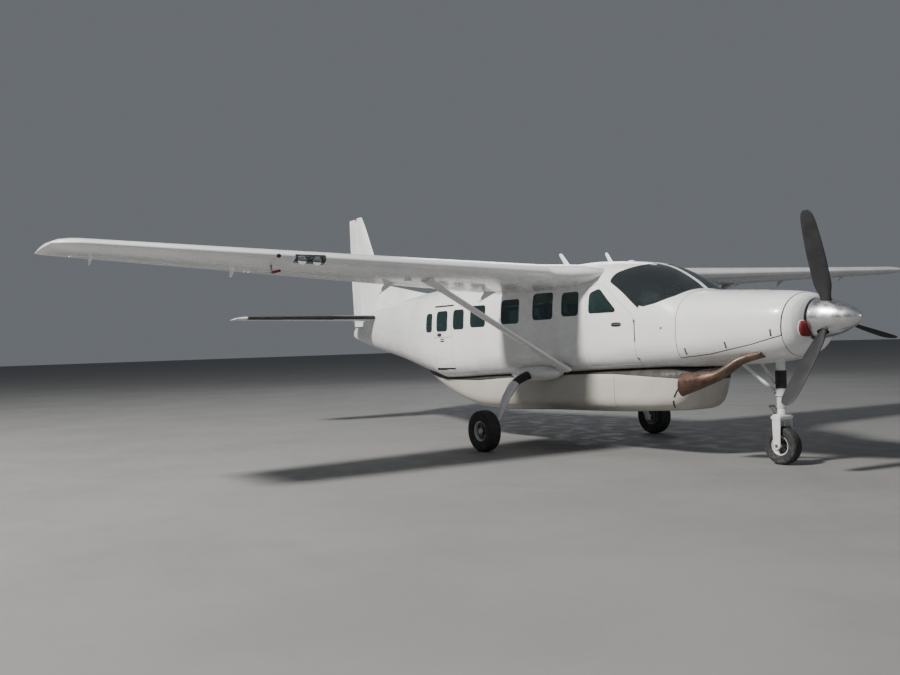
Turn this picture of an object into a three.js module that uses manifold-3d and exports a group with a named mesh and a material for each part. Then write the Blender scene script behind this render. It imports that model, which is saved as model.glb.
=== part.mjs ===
// A high-wing, strut-braced, fixed-gear utility aircraft with one turboprop engine and a belly cargo pod.
// Millimetres, +X towards the nose, +Y to port, +Z up; the origin is on the ground, under the middle.
// A station s is the distance aft of the spinner's tip, and at(s) turns it into X.

import * as THREE from "three";
import { mergeVertices } from "three/addons/utils/BufferGeometryUtils.js";
import Module from "manifold-3d";

const wasm = await Module();
wasm.setup();

// Driving dimensions
const LENGTH = 12670;
const at = (s) => LENGTH / 2 - s;
const SEAT = 0.3; // gap left where two pieces touch
const CLEAR = 7; // gap round a door or a lid
const PORT = 1;
const STARBOARD = -1;
// Limits of the prisms that cut one side: near the middle, past the skin, and past the tail
const SIDE_NEAR = 300;
const SIDE_FAR = 1200;
const PAST_TAIL = 13000;

// Body sections: station, half width, lowest, widest and highest Z, and how square the top and bottom are
const COWL = [
  { s: 596, half: 262, low: 1542, wide: 1800, high: 2062, top: 2.0, base: 2.0 },
  { s: 612, half: 345, low: 1478, wide: 1790, high: 2092, top: 2.1, base: 2.1 },
  { s: 660, half: 440, low: 1412, wide: 1780, high: 2122, top: 2.2, base: 2.2 },
  { s: 865, half: 530, low: 1322, wide: 1770, high: 2162, top: 2.3, base: 2.3 },
  { s: 1300, half: 590, low: 1268, wide: 1760, high: 2196, top: 2.4, base: 2.5 },
  { s: 2085, half: 670, low: 1230, wide: 1740, high: 2248, top: 2.5, base: 3.0 },
  { s: 2230, half: 695, low: 1220, wide: 1740, high: 2256, top: 2.5, base: 3.2 },
];
const CABIN = [
  { s: 2230, half: 695, low: 1220, wide: 1740, high: 2256, top: 2.5, base: 3.2 },
  { s: 2400, half: 724, low: 1211, wide: 1745, high: 2366, top: 2.5, base: 3.3 },
  { s: 2550, half: 748, low: 1204, wide: 1750, high: 2460, top: 2.5, base: 3.4 },
  { s: 2800, half: 785, low: 1190, wide: 1760, high: 2590, top: 2.5, base: 3.6 },
  { s: 3000, half: 808, low: 1182, wide: 1775, high: 2662, top: 2.6, base: 3.8 },
  { s: 3250, half: 828, low: 1172, wide: 1790, high: 2716, top: 2.8, base: 4.0 },
  { s: 3700, half: 843, low: 1155, wide: 1800, high: 2772, top: 3.2, base: 4.2 },
  { s: 4200, half: 845, low: 1130, wide: 1790, high: 2800, top: 3.4, base: 4.2 },
  { s: 6000, half: 845, low: 1062, wide: 1740, high: 2752, top: 3.4, base: 4.2 },
  { s: 7900, half: 822, low: 985, wide: 1700, high: 2684, top: 3.2, base: 3.8 },
  { s: 8300, half: 790, low: 1035, wide: 1715, high: 2668, top: 3.0, base: 3.2 },
];
const TAIL = [
  { s: 8300, half: 790, low: 1035, wide: 1715, high: 2668, top: 3.0, base: 3.2 },
  { s: 10000, half: 520, low: 1340, wide: 1880, high: 2560, top: 2.6, base: 2.6 },
  { s: 11100, half: 335, low: 1520, wide: 1950, high: 2475, top: 2.4, base: 2.4 },
  { s: 12000, half: 165, low: 1680, wide: 1960, high: 2400, top: 2.2, base: 2.2 },
  { s: 12500, half: 60, low: 1800, wide: 1900, high: 2015, top: 2.0, base: 2.0 },
];
const POD = [
  { s: 2062, half: 150, low: 1160, wide: 1196, high: 1234, top: 2.4, base: 2.2 },
  { s: 2120, half: 235, low: 1060, wide: 1160, high: 1238, top: 2.6, base: 2.4 },
  { s: 2200, half: 330, low: 925, wide: 1110, high: 1241, top: 2.8, base: 2.5 },
  { s: 2290, half: 415, low: 790, wide: 1060, high: 1243, top: 3.2, base: 2.8 },
  { s: 2370, half: 475, low: 680, wide: 1020, high: 1243, top: 3.6, base: 3.2 },
  { s: 2450, half: 525, low: 636, wide: 985, high: 1243, top: 4.0, base: 3.6 },
  { s: 2620, half: 582, low: 622, wide: 940, high: 1240, top: 4.6, base: 3.8 },
  { s: 2820, half: 620, low: 610, wide: 900, high: 1236, top: 5.0, base: 3.8 },
  { s: 3150, half: 641, low: 594, wide: 885, high: 1228, top: 5.6, base: 3.7 },
  { s: 3500, half: 647, low: 572, wide: 880, high: 1220, top: 6.0, base: 3.6 },
  { s: 5200, half: 645, low: 525, wide: 850, high: 1150, top: 6.0, base: 3.4 },
  { s: 6450, half: 632, low: 485, wide: 850, high: 1110, top: 6.0, base: 3.5 },
  { s: 6900, half: 612, low: 500, wide: 862, high: 1108, top: 5.2, base: 3.6 },
  { s: 7300, half: 580, low: 555, wide: 885, high: 1108, top: 4.6, base: 3.5 },
  { s: 7700, half: 540, low: 640, wide: 925, high: 1112, top: 4.0, base: 3.3 },
  { s: 8100, half: 484, low: 748, wide: 985, high: 1130, top: 3.6, base: 3.0 },
  { s: 8500, half: 406, low: 875, wide: 1060, high: 1165, top: 3.0, base: 2.8 },
  { s: 8900, half: 300, low: 1010, wide: 1115, high: 1205, top: 2.6, base: 2.4 },
  { s: 9150, half: 190, low: 1105, wide: 1165, high: 1245, top: 2.4, base: 2.2 },
];
const RING_POINTS = 24;
const CABIN_WALL = 42;
const COWL_WALL = 24;
const POD_WALL = 24;
const BULKHEAD = 40;
const FIREWALL_S = 2230;
const CABIN_END_S = 8300;

// Flying surfaces: span place, leading and trailing station and Z, thickness over chord
const WING = [
  { y: 560, lead: 3590, trail: 5905, leadZ: 2576, trailZ: 2396, thick: 0.14 },
  { y: 860, lead: 3625, trail: 5880, leadZ: 2586, trailZ: 2412, thick: 0.145 },
  { y: 1300, lead: 3915, trail: 5835, leadZ: 2601, trailZ: 2436, thick: 0.17 },
  { y: 7650, lead: 4098, trail: 5335, leadZ: 2823, trailZ: 2797, thick: 0.12 },
  { y: 7850, lead: 4170, trail: 5318, leadZ: 2834, trailZ: 2808, thick: 0.09 },
  { y: 7940, lead: 4330, trail: 5280, leadZ: 2842, trailZ: 2818, thick: 0.03 },
];
const STABILIZER = [
  { y: 0, lead: 10900, trail: 12130, leadZ: 2230, trailZ: 2190, thick: 0.1 },
  { y: 3000, lead: 11520, trail: 12075, leadZ: 2262, trailZ: 2230, thick: 0.12 },
  { y: 3125, lead: 11640, trail: 12050, leadZ: 2262, trailZ: 2235, thick: 0.05 },
];
const WING_CAMBER = 0.02;
const CHORD_STEPS = [0, 0.02, 0.08, 0.2, 0.38, 0.58, 0.8, 1];
const TRAIL_HALF = 3; // half the thickness of a trailing edge

// The fin's sections are level: Z, leading and trailing station, thickness over chord
const FIN = [
  { z: 1990, lead: 10635, trail: 12545, thick: 0.095 },
  { z: 2300, lead: 10813, trail: 12575, thick: 0.095 },
  { z: 3700, lead: 11629, trail: 12655, thick: 0.09 },
  { z: 4440, lead: 12060, trail: 12670, thick: 0.09 },
  { z: 4500, lead: 12110, trail: 12670, thick: 0.04 },
];
const DORSAL = { frontS: 9250, backS: 11300, topZ: 2960, half: 26, baseZ: 2300 };

// Hinge lines of the moving surfaces on one side
const AILERON = {
  inner: 5350, outer: 7560, innerS: 5215, outerS: 5060,
  arms: [{ y: 5560, tipBack: -100, tipDrop: 120 }, { y: 7350, tipBack: -100, tipDrop: 100 }],
};
const FLAP = {
  inner: 960, outer: 5270, innerS: 5400, outerS: 5140,
  arms: [{ y: 1230, tipBack: 60, tipDrop: 150 }, { y: 3130, tipBack: 80, tipDrop: 140 }],
};
// The arms: half thickness, depth of the tip, how far the top stops before the trailing edge, overlap
const ARM = { half: 9, tip: 24, short: 120, bury: 12 };
const ELEVATOR = { inner: 215, outer: 2990, hingeS: 11800, coneY: 130 };
const RUDDER = { baseZ: 2065, topZ: 4480, baseS: 12030, topS: 12330 };
const END_GAP = 20;
const NOSE_GAP = 7;
const HINGE_PIN = 8;
const RUDDER_PIN = 14;
const PIN_GAP = 0.6; // from a pin's end to the wall of its bay

// Hinge lines of the doors and lids on the port side, as two places of station, Y and Z
const DOOR_HINGES = {
  crew: [[2876, 796, 1590], [2876, 796, 1890]],
  airstairUpper: [[7500, 767, 2303], [7760, 759, 2303]],
  airstairLower: [[7500, 726, 1175], [7760, 726, 1175]],
  cargoUpper: [[7100, 770, 2318], [7500, 758, 2318]],
  cargoLower: [[6692, 840, 1480], [6692, 840, 1720]],
  podFront: [[3850, 560, 642], [4190, 568, 642]],
  podRear: [[5810, 597, 642], [6150, 601, 642]],
  cowl: [[1250, 29, 2195], [1650, 29, 2222]],
};
const BARREL = { radius: 9, room: 10, middle: [0.3, 0.7] };

// Openings in the cabin's side, as station and Z outlines
const CREW_DOOR = [
  [2880, 1250], [3800, 1250], [3800, 2405], [3505, 2420], [2925, 1965], [2880, 1860],
];
const CREW_WINDOW = [[3165, 2000], [3752, 2000], [3742, 2300], [3552, 2362]];
const AIRSTAIR = { front: 7325, back: 7935, low: 1172, split: 1745, high: 2305 };
const CARGO = { front: 6690, back: 7935, low: 1172, split: 1745, high: 2320 };
const WINDSCREEN = [
  [2285, 2240], [2330, 2178], [2540, 2088], [2830, 2030], [3150, 2283],
  [3415, 2440], [3385, 2565], [3170, 2664], [3020, 2720], [2990, 2900], [2200, 2900],
];
const POST_HALF = 28;
const WINDOW_CORNER = 75;
const CORNER_STEPS = 2;
// Windows: front and back station, low and high Z
const FIXED_WINDOWS = {
  [STARBOARD]: [
    [3961, 4345, 1983, 2341], [4544, 5036, 1953, 2365], [5377, 5861, 1918, 2311],
    [6296, 6749, 1890, 2262], [6940, 7290, 1868, 2220], [7997, 8241, 1840, 2188],
  ],
  [PORT]: [
    [3961, 4345, 1983, 2341], [4544, 5036, 1953, 2365], [5377, 5861, 1918, 2311],
    [6100, 6550, 1895, 2272], [7997, 8241, 1840, 2188],
  ],
};
const AIRSTAIR_WINDOW = [7470, 7845, 1845, 2216];
const CARGO_WINDOWS = [[6862, 7240, 1862, 2232], [7420, 7800, 1845, 2216]];
const GLASS_DEEP = 3; // how far a pane lies inside the skin
const GLASS_STRIP = { low: 2372, high: 2424, deep: 7, front: 3930, back: 8250 };
const SCREEN_THICK = 14;

// Undercarriage
const MAIN_WHEEL = { s: 5085, y: 1780, radius: 310, half: 108, rim: 146, hub: 62 };
const NOSE_WHEEL = { s: 1140, y: 0, radius: 240, half: 80, rim: 118, hub: 46 };
const AXLE_RADIUS = 28;

const PROP = { s: 415, z: 1815, radius: 1322, lean: 0.317, blades: 3 };

const COLOURS = {
  white: ["#e9eaea", 0.35, 0.1],
  grey: ["#9a9da0", 0.5, 0.3],
  dark: ["#26282b", 0.6, 0.1],
  rubber: ["#1a1a1b", 0.9, 0],
  glass: ["#3a4a4e", 0.1, 0],
  metal: ["#b9bcc0", 0.2, 0.9],
  exhaust: ["#6b4636", 0.5, 0.7],
  cloth: ["#6a6e74", 0.95, 0],
};

// Solids from closed meshes
function solid(geometry) {
  const flat = geometry.index ? geometry.toNonIndexed() : geometry;
  const bare = new THREE.BufferGeometry().setAttribute("position", flat.getAttribute("position"));
  const merged = mergeVertices(bare, 1e-3);
  return new wasm.Manifold(
    new wasm.Mesh({
      numProp: 3,
      vertProperties: merged.attributes.position.array,
      triVerts: new Uint32Array(merged.index.array),
    }),
  );
}

const join = (...solids) => solids.reduce((a, b) => a.add(b));
const cut = (from, ...solids) => solids.reduce((a, b) => a.subtract(b), from);

// The triangles of a flat ring, found in the plane that shows it widest
function capTriangles(ring) {
  const normal = new THREE.Vector3();
  ring.forEach((p, i) => normal.add(new THREE.Vector3().crossVectors(p, ring[(i + 1) % ring.length])));
  const [x, y, z] = [Math.abs(normal.x), Math.abs(normal.y), Math.abs(normal.z)];
  const flat = ring.map((p) => {
    if (x >= y && x >= z) return new THREE.Vector2(p.y, p.z);
    return y >= z ? new THREE.Vector2(p.z, p.x) : new THREE.Vector2(p.x, p.y);
  });
  const clockwise = THREE.ShapeUtils.isClockWise(flat);
  const order = clockwise ? flat.slice().reverse() : flat;
  const last = ring.length - 1;
  return THREE.ShapeUtils.triangulateShape(order, []).map((t) => {
    const face = clockwise ? t.map((i) => last - i) : t;
    return clockwise ? [face[0], face[2], face[1]] : face;
  });
}

// A closed body through rings of equal length, with a flat cap at each end
function loft(rings) {
  const count = rings[0].length;
  const points = rings.flat();
  const faces = [];
  for (let r = 0; r + 1 < rings.length; r++) {
    for (let i = 0; i < count; i++) {
      const a = r * count + i;
      const b = r * count + ((i + 1) % count);
      faces.push([a, b, b + count], [a, b + count, a + count]);
    }
  }
  const end = (rings.length - 1) * count;
  capTriangles(rings[0]).forEach(([a, b, c]) => faces.push([a, c, b]));
  capTriangles(rings[rings.length - 1]).forEach(([a, b, c]) => faces.push([end + a, end + b, end + c]));
  const volume = faces.reduce(
    (sum, [a, b, c]) => sum + points[a].dot(new THREE.Vector3().crossVectors(points[b], points[c])),
    0,
  );
  const facing = volume < 0 ? faces.map(([a, b, c]) => [a, c, b]) : faces;
  const geometry = new THREE.BufferGeometry();
  const places = points.flatMap((p) => [p.x, p.y, p.z]);
  geometry.setAttribute("position", new THREE.Float32BufferAttribute(places, 3));
  geometry.setIndex(facing.flat());
  return solid(geometry);
}

// A section's column at any station, in line between the rows on each side of it
function between(table, key, value, column) {
  const last = table.length - 1;
  const next = Math.min(Math.max(table.findIndex((row) => row[key] >= value), 1), last);
  const row = value > table[last][key] ? last : next;
  const [a, b] = [table[row - 1], table[row]];
  return THREE.MathUtils.lerp(a[column], b[column], (value - a[key]) / (b[key] - a[key]));
}

// One ring of the body: two half superellipses that meet at the widest place
function bodyRing(table, s, grow) {
  const of = (column) => between(table, "s", s, column);
  const [half, low, wide, high] = [of("half") + grow, of("low") - grow, of("wide"), of("high") + grow];
  return Array.from({ length: RING_POINTS }, (_, i) => {
    const angle = (2 * Math.PI * i) / RING_POINTS;
    const [c, v] = [Math.cos(angle), Math.sin(angle)];
    const power = v >= 0 ? of("top") : of("base");
    const reach = (Math.abs(c) ** power + Math.abs(v) ** power) ** (-1 / power);
    const tall = v >= 0 ? high - wide : wide - low;
    return new THREE.Vector3(at(s), half * reach * c, wide + tall * reach * v);
  });
}

function body(table, from, to, grow = 0) {
  const inner = table.map((row) => row.s).filter((s) => s > from && s < to);
  return loft([from, ...inner, to].map((s) => bodyRing(table, s, grow)));
}

// A body whose ends lie past the table's, for cutting, with its end sections carried on
function longBody(table, grow) {
  const [first, last] = [table[0], table[table.length - 1]];
  const rows = [{ ...first, s: first.s - 50 }, ...table, { ...last, s: last.s + 50 }];
  return body(rows, first.s - 50, last.s + 50, grow);
}

// A prism of a station and Z outline, from one Y to another
function sidePrism(outline, y0, y1) {
  return loft([y0, y1].map((y) => outline.map(([s, z]) => new THREE.Vector3(at(s), y, z))));
}

function box(s0, s1, y0, y1, z0, z1) {
  return sidePrism([[s0, z0], [s1, z0], [s1, z1], [s0, z1]], y0, y1);
}

// Moves each edge of an outline that runs anticlockwise inwards by a distance
function inset(outline, distance) {
  const turn = THREE.ShapeUtils.isClockWise(outline.map(([a, b]) => new THREE.Vector2(a, b))) ? -1 : 1;
  const count = outline.length;
  const edge = (i) => {
    const [a, b] = [outline[i], outline[(i + 1) % count]];
    const size = Math.hypot(b[0] - a[0], b[1] - a[1]);
    const [dx, dy] = [(b[0] - a[0]) / size, (b[1] - a[1]) / size];
    return { x: a[0] - dy * distance * turn, y: a[1] + dx * distance * turn, dx, dy };
  };
  return outline.map((_, i) => {
    const [p, q] = [edge((i + count - 1) % count), edge(i)];
    const cross = p.dx * q.dy - p.dy * q.dx;
    const t = ((q.x - p.x) * q.dy - (q.y - p.y) * q.dx) / cross;
    return [p.x + p.dx * t, p.y + p.dy * t];
  });
}

// Rounds each corner of an outline with an arc
function rounded(outline, radius) {
  const count = outline.length;
  return outline.flatMap((corner, i) => {
    const toward = (other) => {
      const size = Math.hypot(other[0] - corner[0], other[1] - corner[1]);
      return [(other[0] - corner[0]) / size, (other[1] - corner[1]) / size];
    };
    const back = toward(outline[(i + count - 1) % count]);
    const ahead = toward(outline[(i + 1) % count]);
    const start = [corner[0] + back[0] * radius, corner[1] + back[1] * radius];
    const end = [corner[0] + ahead[0] * radius, corner[1] + ahead[1] * radius];
    const curve = new THREE.QuadraticBezierCurve(
      new THREE.Vector2(...start),
      new THREE.Vector2(...corner),
      new THREE.Vector2(...end),
    );
    return curve.getPoints(CORNER_STEPS).map((p) => [p.x, p.y]);
  });
}

const rectangle = (front, back, low, high) => [[front, low], [back, low], [back, high], [front, high]];
const windowOutline = (window) => rounded(rectangle(...window), WINDOW_CORNER);

// A prism on one side only, from near the middle to well outside the skin
function sideCut(outline, side) {
  return sidePrism(outline, side * SIDE_NEAR, side * SIDE_FAR);
}

// A round bar between two places of station, Y and Z
function bar(from, to, radius, endRadius = radius, steps = 12) {
  const [a, b] = [from, to].map(([s, y, z]) => new THREE.Vector3(at(s), y, z));
  const along = b.clone().sub(a).normalize();
  const reference = Math.abs(along.y) > 0.9 ? new THREE.Vector3(0, 0, 1) : new THREE.Vector3(0, 1, 0);
  const aside = reference.cross(along).normalize();
  const up = new THREE.Vector3().crossVectors(along, aside);
  return loft(
    [[a, radius], [b, endRadius]].map(([end, r]) =>
      Array.from({ length: steps }, (_, i) => {
        const t = (2 * Math.PI * i) / steps;
        return end.clone().addScaledVector(aside, r * Math.cos(t)).addScaledVector(up, r * Math.sin(t));
      }),
    ),
  );
}

// A door's hinge: the barrel's middle turns with the door and its ends stay on what carries it
function barrel(name, side) {
  const [from, to] = DOOR_HINGES[name].map(([s, y, z]) => [s, side * y, z]);
  const size = Math.hypot(...from.map((v, i) => to[i] - v));
  const along = (share) => from.map((v, i) => THREE.MathUtils.lerp(v, to[i], share));
  const piece = (start, end, radius) => bar(along(start), along(end), radius);
  const { radius, room, middle: [m0, m1] } = BARREL;
  const gap = SEAT / size;
  return {
    moving: piece(m0, m1, radius),
    movingRoom: piece(m0 - gap, m1 + gap, room),
    fixed: [piece(0, m0 - gap, radius), piece(m1 + gap, 1, radius)],
    fixedRoom: [piece(-1 / size, m0, room), piece(m1, 1 + 1 / size, room)],
  };
}

function hang(panel, name, side) {
  const { moving, fixedRoom } = barrel(name, side);
  return cut(panel, ...fixedRoom).add(moving);
}

function carry(carrier, ...hinges) {
  return hinges.reduce((shape, [name, side]) => {
    const { movingRoom, fixed } = barrel(name, side);
    return join(shape.subtract(movingRoom), ...fixed);
  }, carrier);
}

// The body's walls
const cabinOuter = body(CABIN, FIREWALL_S, CABIN_END_S);
const cabinInner = body(CABIN, FIREWALL_S + BULKHEAD, CABIN_END_S + 20, -CABIN_WALL);
const cabinWall = cabinOuter.subtract(cabinInner);
const cabinSkin = longBody(CABIN, SEAT);
const tailSkin = longBody(TAIL, SEAT);
const bodySkin = cabinSkin.add(body(TAIL, CABIN_END_S, 12500, SEAT));
const roomSize = -CABIN_WALL - SEAT;
const cabinRoom = body(CABIN, FIREWALL_S + BULKHEAD + SEAT, CABIN_END_S - SEAT, roomSize);

// Doors, as an outline and the windows in it
const doorOutlines = {
  crew: CREW_DOOR,
  airstairUpper: rectangle(AIRSTAIR.front, AIRSTAIR.back, AIRSTAIR.split, AIRSTAIR.high),
  airstairLower: rectangle(AIRSTAIR.front, AIRSTAIR.back, AIRSTAIR.low, AIRSTAIR.split),
  cargoUpper: rectangle(CARGO.front, CARGO.back, CARGO.split, CARGO.high),
  cargoLower: rectangle(CARGO.front, CARGO.back, CARGO.low, CARGO.split),
};
const AIRSTAIR_HOLE = rectangle(AIRSTAIR.front, AIRSTAIR.back, AIRSTAIR.low, AIRSTAIR.high);
const CARGO_HOLE = rectangle(CARGO.front, CARGO.back, CARGO.low, CARGO.high);

function door(name, side, windows = []) {
  const panel = cabinWall.intersect(sideCut(inset(doorOutlines[name], CLEAR / 2), side));
  return hang(cut(panel, ...windows.map((w) => sideCut(w, side))), name, side);
}

// Panes that fill window holes; a layer inside the wall can tie them together
const stripBack = body(CABIN, FIREWALL_S, CABIN_END_S + 1, roomSize - GLASS_STRIP.deep);
const paneLayer = body(CABIN, FIREWALL_S + 1, CABIN_END_S, -GLASS_DEEP).subtract(stripBack);
const stripLayer = body(CABIN, FIREWALL_S + 1, CABIN_END_S, roomSize).subtract(stripBack);

function panes(windows, side) {
  return join(...windows.map((w) => paneLayer.intersect(sideCut(inset(w, SEAT), side))));
}

function cabinGlass(side) {
  const { low, high, front, back } = GLASS_STRIP;
  const windows = FIXED_WINDOWS[side];
  const tabs = windows.map(([a, b, base]) => sideCut(rectangle(a + 40, b - 40, base + 60, high), side));
  const band = sideCut(rectangle(front, back, low, high), side);
  const strip = stripLayer.intersect(join(band, ...tabs));
  return join(strip, panes(windows.map(windowOutline), side));
}

function doorGlass(windows, side) {
  const band = windows.length > 1
    ? [sideCut(rectangle(windows[0][0] + 60, windows[1][1] - 60, 1980, 2080), side).intersect(stripLayer)]
    : [];
  return join(panes(windows.map(windowOutline), side), ...band);
}

const crewWindow = rounded(CREW_WINDOW, 45);

function cabinShell() {
  const holes = [
    sideCut(CREW_DOOR, PORT),
    sideCut(CREW_DOOR, STARBOARD),
    sideCut(AIRSTAIR_HOLE, STARBOARD),
    sideCut(CARGO_HOLE, PORT),
    sidePrism(WINDSCREEN, POST_HALF, SIDE_FAR),
    sidePrism(WINDSCREEN, -SIDE_FAR, -POST_HALF),
    ...[PORT, STARBOARD].flatMap((side) =>
      FIXED_WINDOWS[side].map((w) => sideCut(windowOutline(w), side)),
    ),
  ];
  return carry(
    cut(cabinWall, ...holes),
    ["crew", PORT],
    ["crew", STARBOARD],
    ["airstairUpper", STARBOARD],
    ["airstairLower", STARBOARD],
    ["cargoUpper", PORT],
    ["cargoLower", PORT],
  );
}

function windscreen(side) {
  const layer = body(CABIN, FIREWALL_S, 3700, -GLASS_DEEP).subtract(
    body(CABIN, FIREWALL_S - 1, 3701, -GLASS_DEEP - SCREEN_THICK),
  );
  const hole = inset(WINDSCREEN, SEAT);
  return layer.intersect(sidePrism(hole, side * (POST_HALF + SEAT), side * SIDE_FAR));
}

// Blade antennas on the roof: station of the foot's front, foot length, lean and height
const ANTENNAS = [
  { s: 4085, foot: 95, lean: 115, tall: 165, half: 9 },
  { s: 5030, foot: 135, lean: 230, tall: 265, half: 10 },
];

function antenna({ s, foot, lean, tall, half }) {
  const low = between(CABIN, "s", s, "high") - 12;
  const outline = [[s, low], [s + foot, low], [s + foot + lean * 0.7, low + tall], [s + lean, low + tall]];
  return sidePrism(outline, -half, half);
}

// Cabin floor with the aft bulkhead, both shaped by the room
const FLOOR = { frontS: 2180, frontZ: 1262, backZ: 1150, thick: 32 };

function cabinFloor() {
  const { frontS, frontZ, backZ, thick } = FLOOR;
  const slab = sidePrism(
    [[frontS, frontZ - thick], [CABIN_END_S, backZ - thick], [CABIN_END_S, backZ], [frontS, frontZ]],
    -SIDE_FAR,
    SIDE_FAR,
  );
  const wall = box(CABIN_END_S - BULKHEAD, CABIN_END_S - SEAT, -SIDE_FAR, SIDE_FAR, 900, 2800);
  return cabinRoom.intersect(slab.add(wall));
}

const PANEL = { s: 2640, deep: 150, low: 1700, high: 2150, half: 640 };

function instrumentPanel() {
  const { s, deep, low, high, half } = PANEL;
  const face = box(s, s + deep, -half, half, low, high);
  const shelf = box(FIREWALL_S + BULKHEAD, s + deep + 60, -half, half, high - 30, high);
  const [front, back] = [s + 20, s + 260];
  const pedestal = sidePrism(
    [[front, floorZ(front) + SEAT], [back, floorZ(back) + SEAT], [back, low + 10], [front, low + 10]],
    -110,
    110,
  );
  return cabinRoom.intersect(join(face, shelf, pedestal));
}

// Seats: a base, a cushion and a back on the floor
const floorZ = (s) =>
  THREE.MathUtils.mapLinear(s, FLOOR.frontS, CABIN_END_S, FLOOR.frontZ, FLOOR.backZ);
const SEAT_SIZE = { width: 430, base: 270, cushion: 130, deep: 470, back: 120, tall: 640 };

function seat(s, y) {
  const { width, base, cushion, deep, back, tall } = SEAT_SIZE;
  const z = floorZ(s);
  const half = width / 2;
  const [front, rear] = [s + 60, s + deep - 40];
  return join(
    sidePrism(
      [
        [front, floorZ(front) + SEAT], [rear, floorZ(rear) + SEAT],
        [rear, z + base + 5], [front, z + base + 5],
      ],
      y - half + 90,
      y + half - 90,
    ),
    box(s, s + deep, y - half, y + half, z + base, z + base + cushion),
    sidePrism(
      [
        [s + deep - 30, z + base + 20], [s + deep + back - 30, z + base + 20],
        [s + deep + back + 60, z + base + tall], [s + deep + 60, z + base + tall],
      ],
      y - half,
      y + half,
    ),
  );
}

const CREW_SEAT = { s: 3120, y: 320 };
const SEAT_ROWS = [4150, 5080, 6010];
const SEAT_LINES = [-430, 300];

function passengerSeats() {
  const rails = SEAT_LINES.map((y) =>
    sidePrism(
      [
        [4150, floorZ(4150) + SEAT], [6560, floorZ(6560) + SEAT],
        [6560, floorZ(6560) + 18], [4150, floorZ(4150) + 18],
      ],
      y - 40,
      y + 40,
    ),
  );
  const tie = sidePrism(
    [
      [4250, floorZ(4250) + SEAT], [4330, floorZ(4330) + SEAT],
      [4330, floorZ(4330) + 18], [4250, floorZ(4250) + 18],
    ],
    ...SEAT_LINES,
  );
  return join(tie, ...rails, ...SEAT_ROWS.flatMap((s) => SEAT_LINES.map((y) => seat(s, y))));
}

// Cowling: nose bowl, lower half, and two doors hinged along the top
const COWL_SPLIT = [[747, 1612], [1147, 1514], [1765, 1400], [FIREWALL_S, 1352]];
const BOWL_END = { s: 740, z: 1700, lean: -0.08 };
const bowlEnd = (z) => BOWL_END.s + BOWL_END.lean * (z - BOWL_END.z);
const COWL_END_S = FIREWALL_S - SEAT;
const SPINE_HALF = 26;
const cowlWall = body(COWL, 596, COWL_END_S).subtract(
  body(COWL, 660, FIREWALL_S + 5, -COWL_WALL),
);
const cowlSkin = longBody(COWL, SEAT);

// The part of the cowl above or below the split line, moved by a gap
function cowlZone(above, gap) {
  const line = COWL_SPLIT.map(([s, z]) => [s, z + gap]);
  const reach = above ? 2600 : 900;
  const [frontGap, back] = above ? [CLEAR, COWL_END_S - CLEAR] : [SEAT, COWL_END_S];
  const front = (z) => [bowlEnd(z) + frontGap, z];
  return [front(line.at(0)[1]), ...line.slice(1, -1), [back, line.at(-1)[1]], [back, reach], front(reach)];
}

// Air inlets beside the spinner, as outlines of Y and Z
const INLETS = [
  [[-110, 1640], [-130, 1590], [-300, 1600], [-345, 1690], [-325, 1785], [-235, 1790], [-180, 1690]],
  [[110, 1640], [120, 1560], [310, 1585], [370, 1700], [350, 1840], [245, 1850], [232, 1770], [180, 1690]],
];

function noseBowl() {
  const inlets = INLETS.map((outline) =>
    loft([560, 760].map((s) => rounded(outline, 16).map(([y, z]) => new THREE.Vector3(at(s), y, z)))),
  );
  const [low, high, front] = [1000, 2500, 500];
  const ring = [[front, low], [bowlEnd(low), low], [bowlEnd(high), high], [front, high]];
  const ringPart = sidePrism(ring, -SIDE_FAR, SIDE_FAR);
  const spine = box(600, COWL_END_S, -SPINE_HALF, SPINE_HALF, 2000, high);
  const shaftHole = loft(
    [590, 760].map((s) =>
      Array.from({ length: 24 }, (_, i) => {
        const a = (Math.PI * i) / 12;
        return new THREE.Vector3(at(s), 150 * Math.cos(a), PROP.z + 150 * Math.sin(a));
      }),
    ),
  );
  const shell = cut(cowlWall.intersect(ringPart.add(spine)), shaftHole, ...inlets);
  return carry(shell, ["cowl", PORT], ["cowl", STARBOARD]);
}

const cowlLower = () => cowlWall.intersect(sidePrism(cowlZone(false, 0), -SIDE_FAR, SIDE_FAR));
const cowlDoor = (side) =>
  hang(
    cowlWall.intersect(sidePrism(cowlZone(true, CLEAR), side * (SPINE_HALF + CLEAR), side * SIDE_FAR)),
    "cowl",
    side,
  );

// A turned body about the X axis, from a profile of station and radius
function turned(profile, y, z, steps = 24) {
  const points = profile.map(([s, r]) => new THREE.Vector2(Math.max(r, 0), -s));
  const geometry = new THREE.LatheGeometry(points, steps);
  geometry.applyMatrix4(new THREE.Matrix4().makeRotationZ(-Math.PI / 2));
  geometry.applyMatrix4(new THREE.Matrix4().makeTranslation(LENGTH / 2, y, z));
  return outward(geometry);
}

// Turns a closed geometry's faces outwards if they point in
function outward(geometry) {
  const made = solid(geometry);
  if (made.volume() > 0) return made;
  const flipped = geometry.index ? geometry.toNonIndexed() : geometry;
  const p = flipped.getAttribute("position");
  for (let i = 0; i < p.count; i += 3) {
    const [a, b] = [i + 1, i + 2].map((k) => new THREE.Vector3().fromBufferAttribute(p, k));
    p.setXYZ(i + 1, b.x, b.y, b.z);
    p.setXYZ(i + 2, a.x, a.y, a.z);
  }
  return solid(flipped);
}

function engineBlock() {
  return turned(
    [[640, 0], [640, 120], [760, 130], [800, 235], [FIREWALL_S - SEAT, 240], [FIREWALL_S - SEAT, 0]],
    0,
    PROP.z,
  );
}

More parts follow.
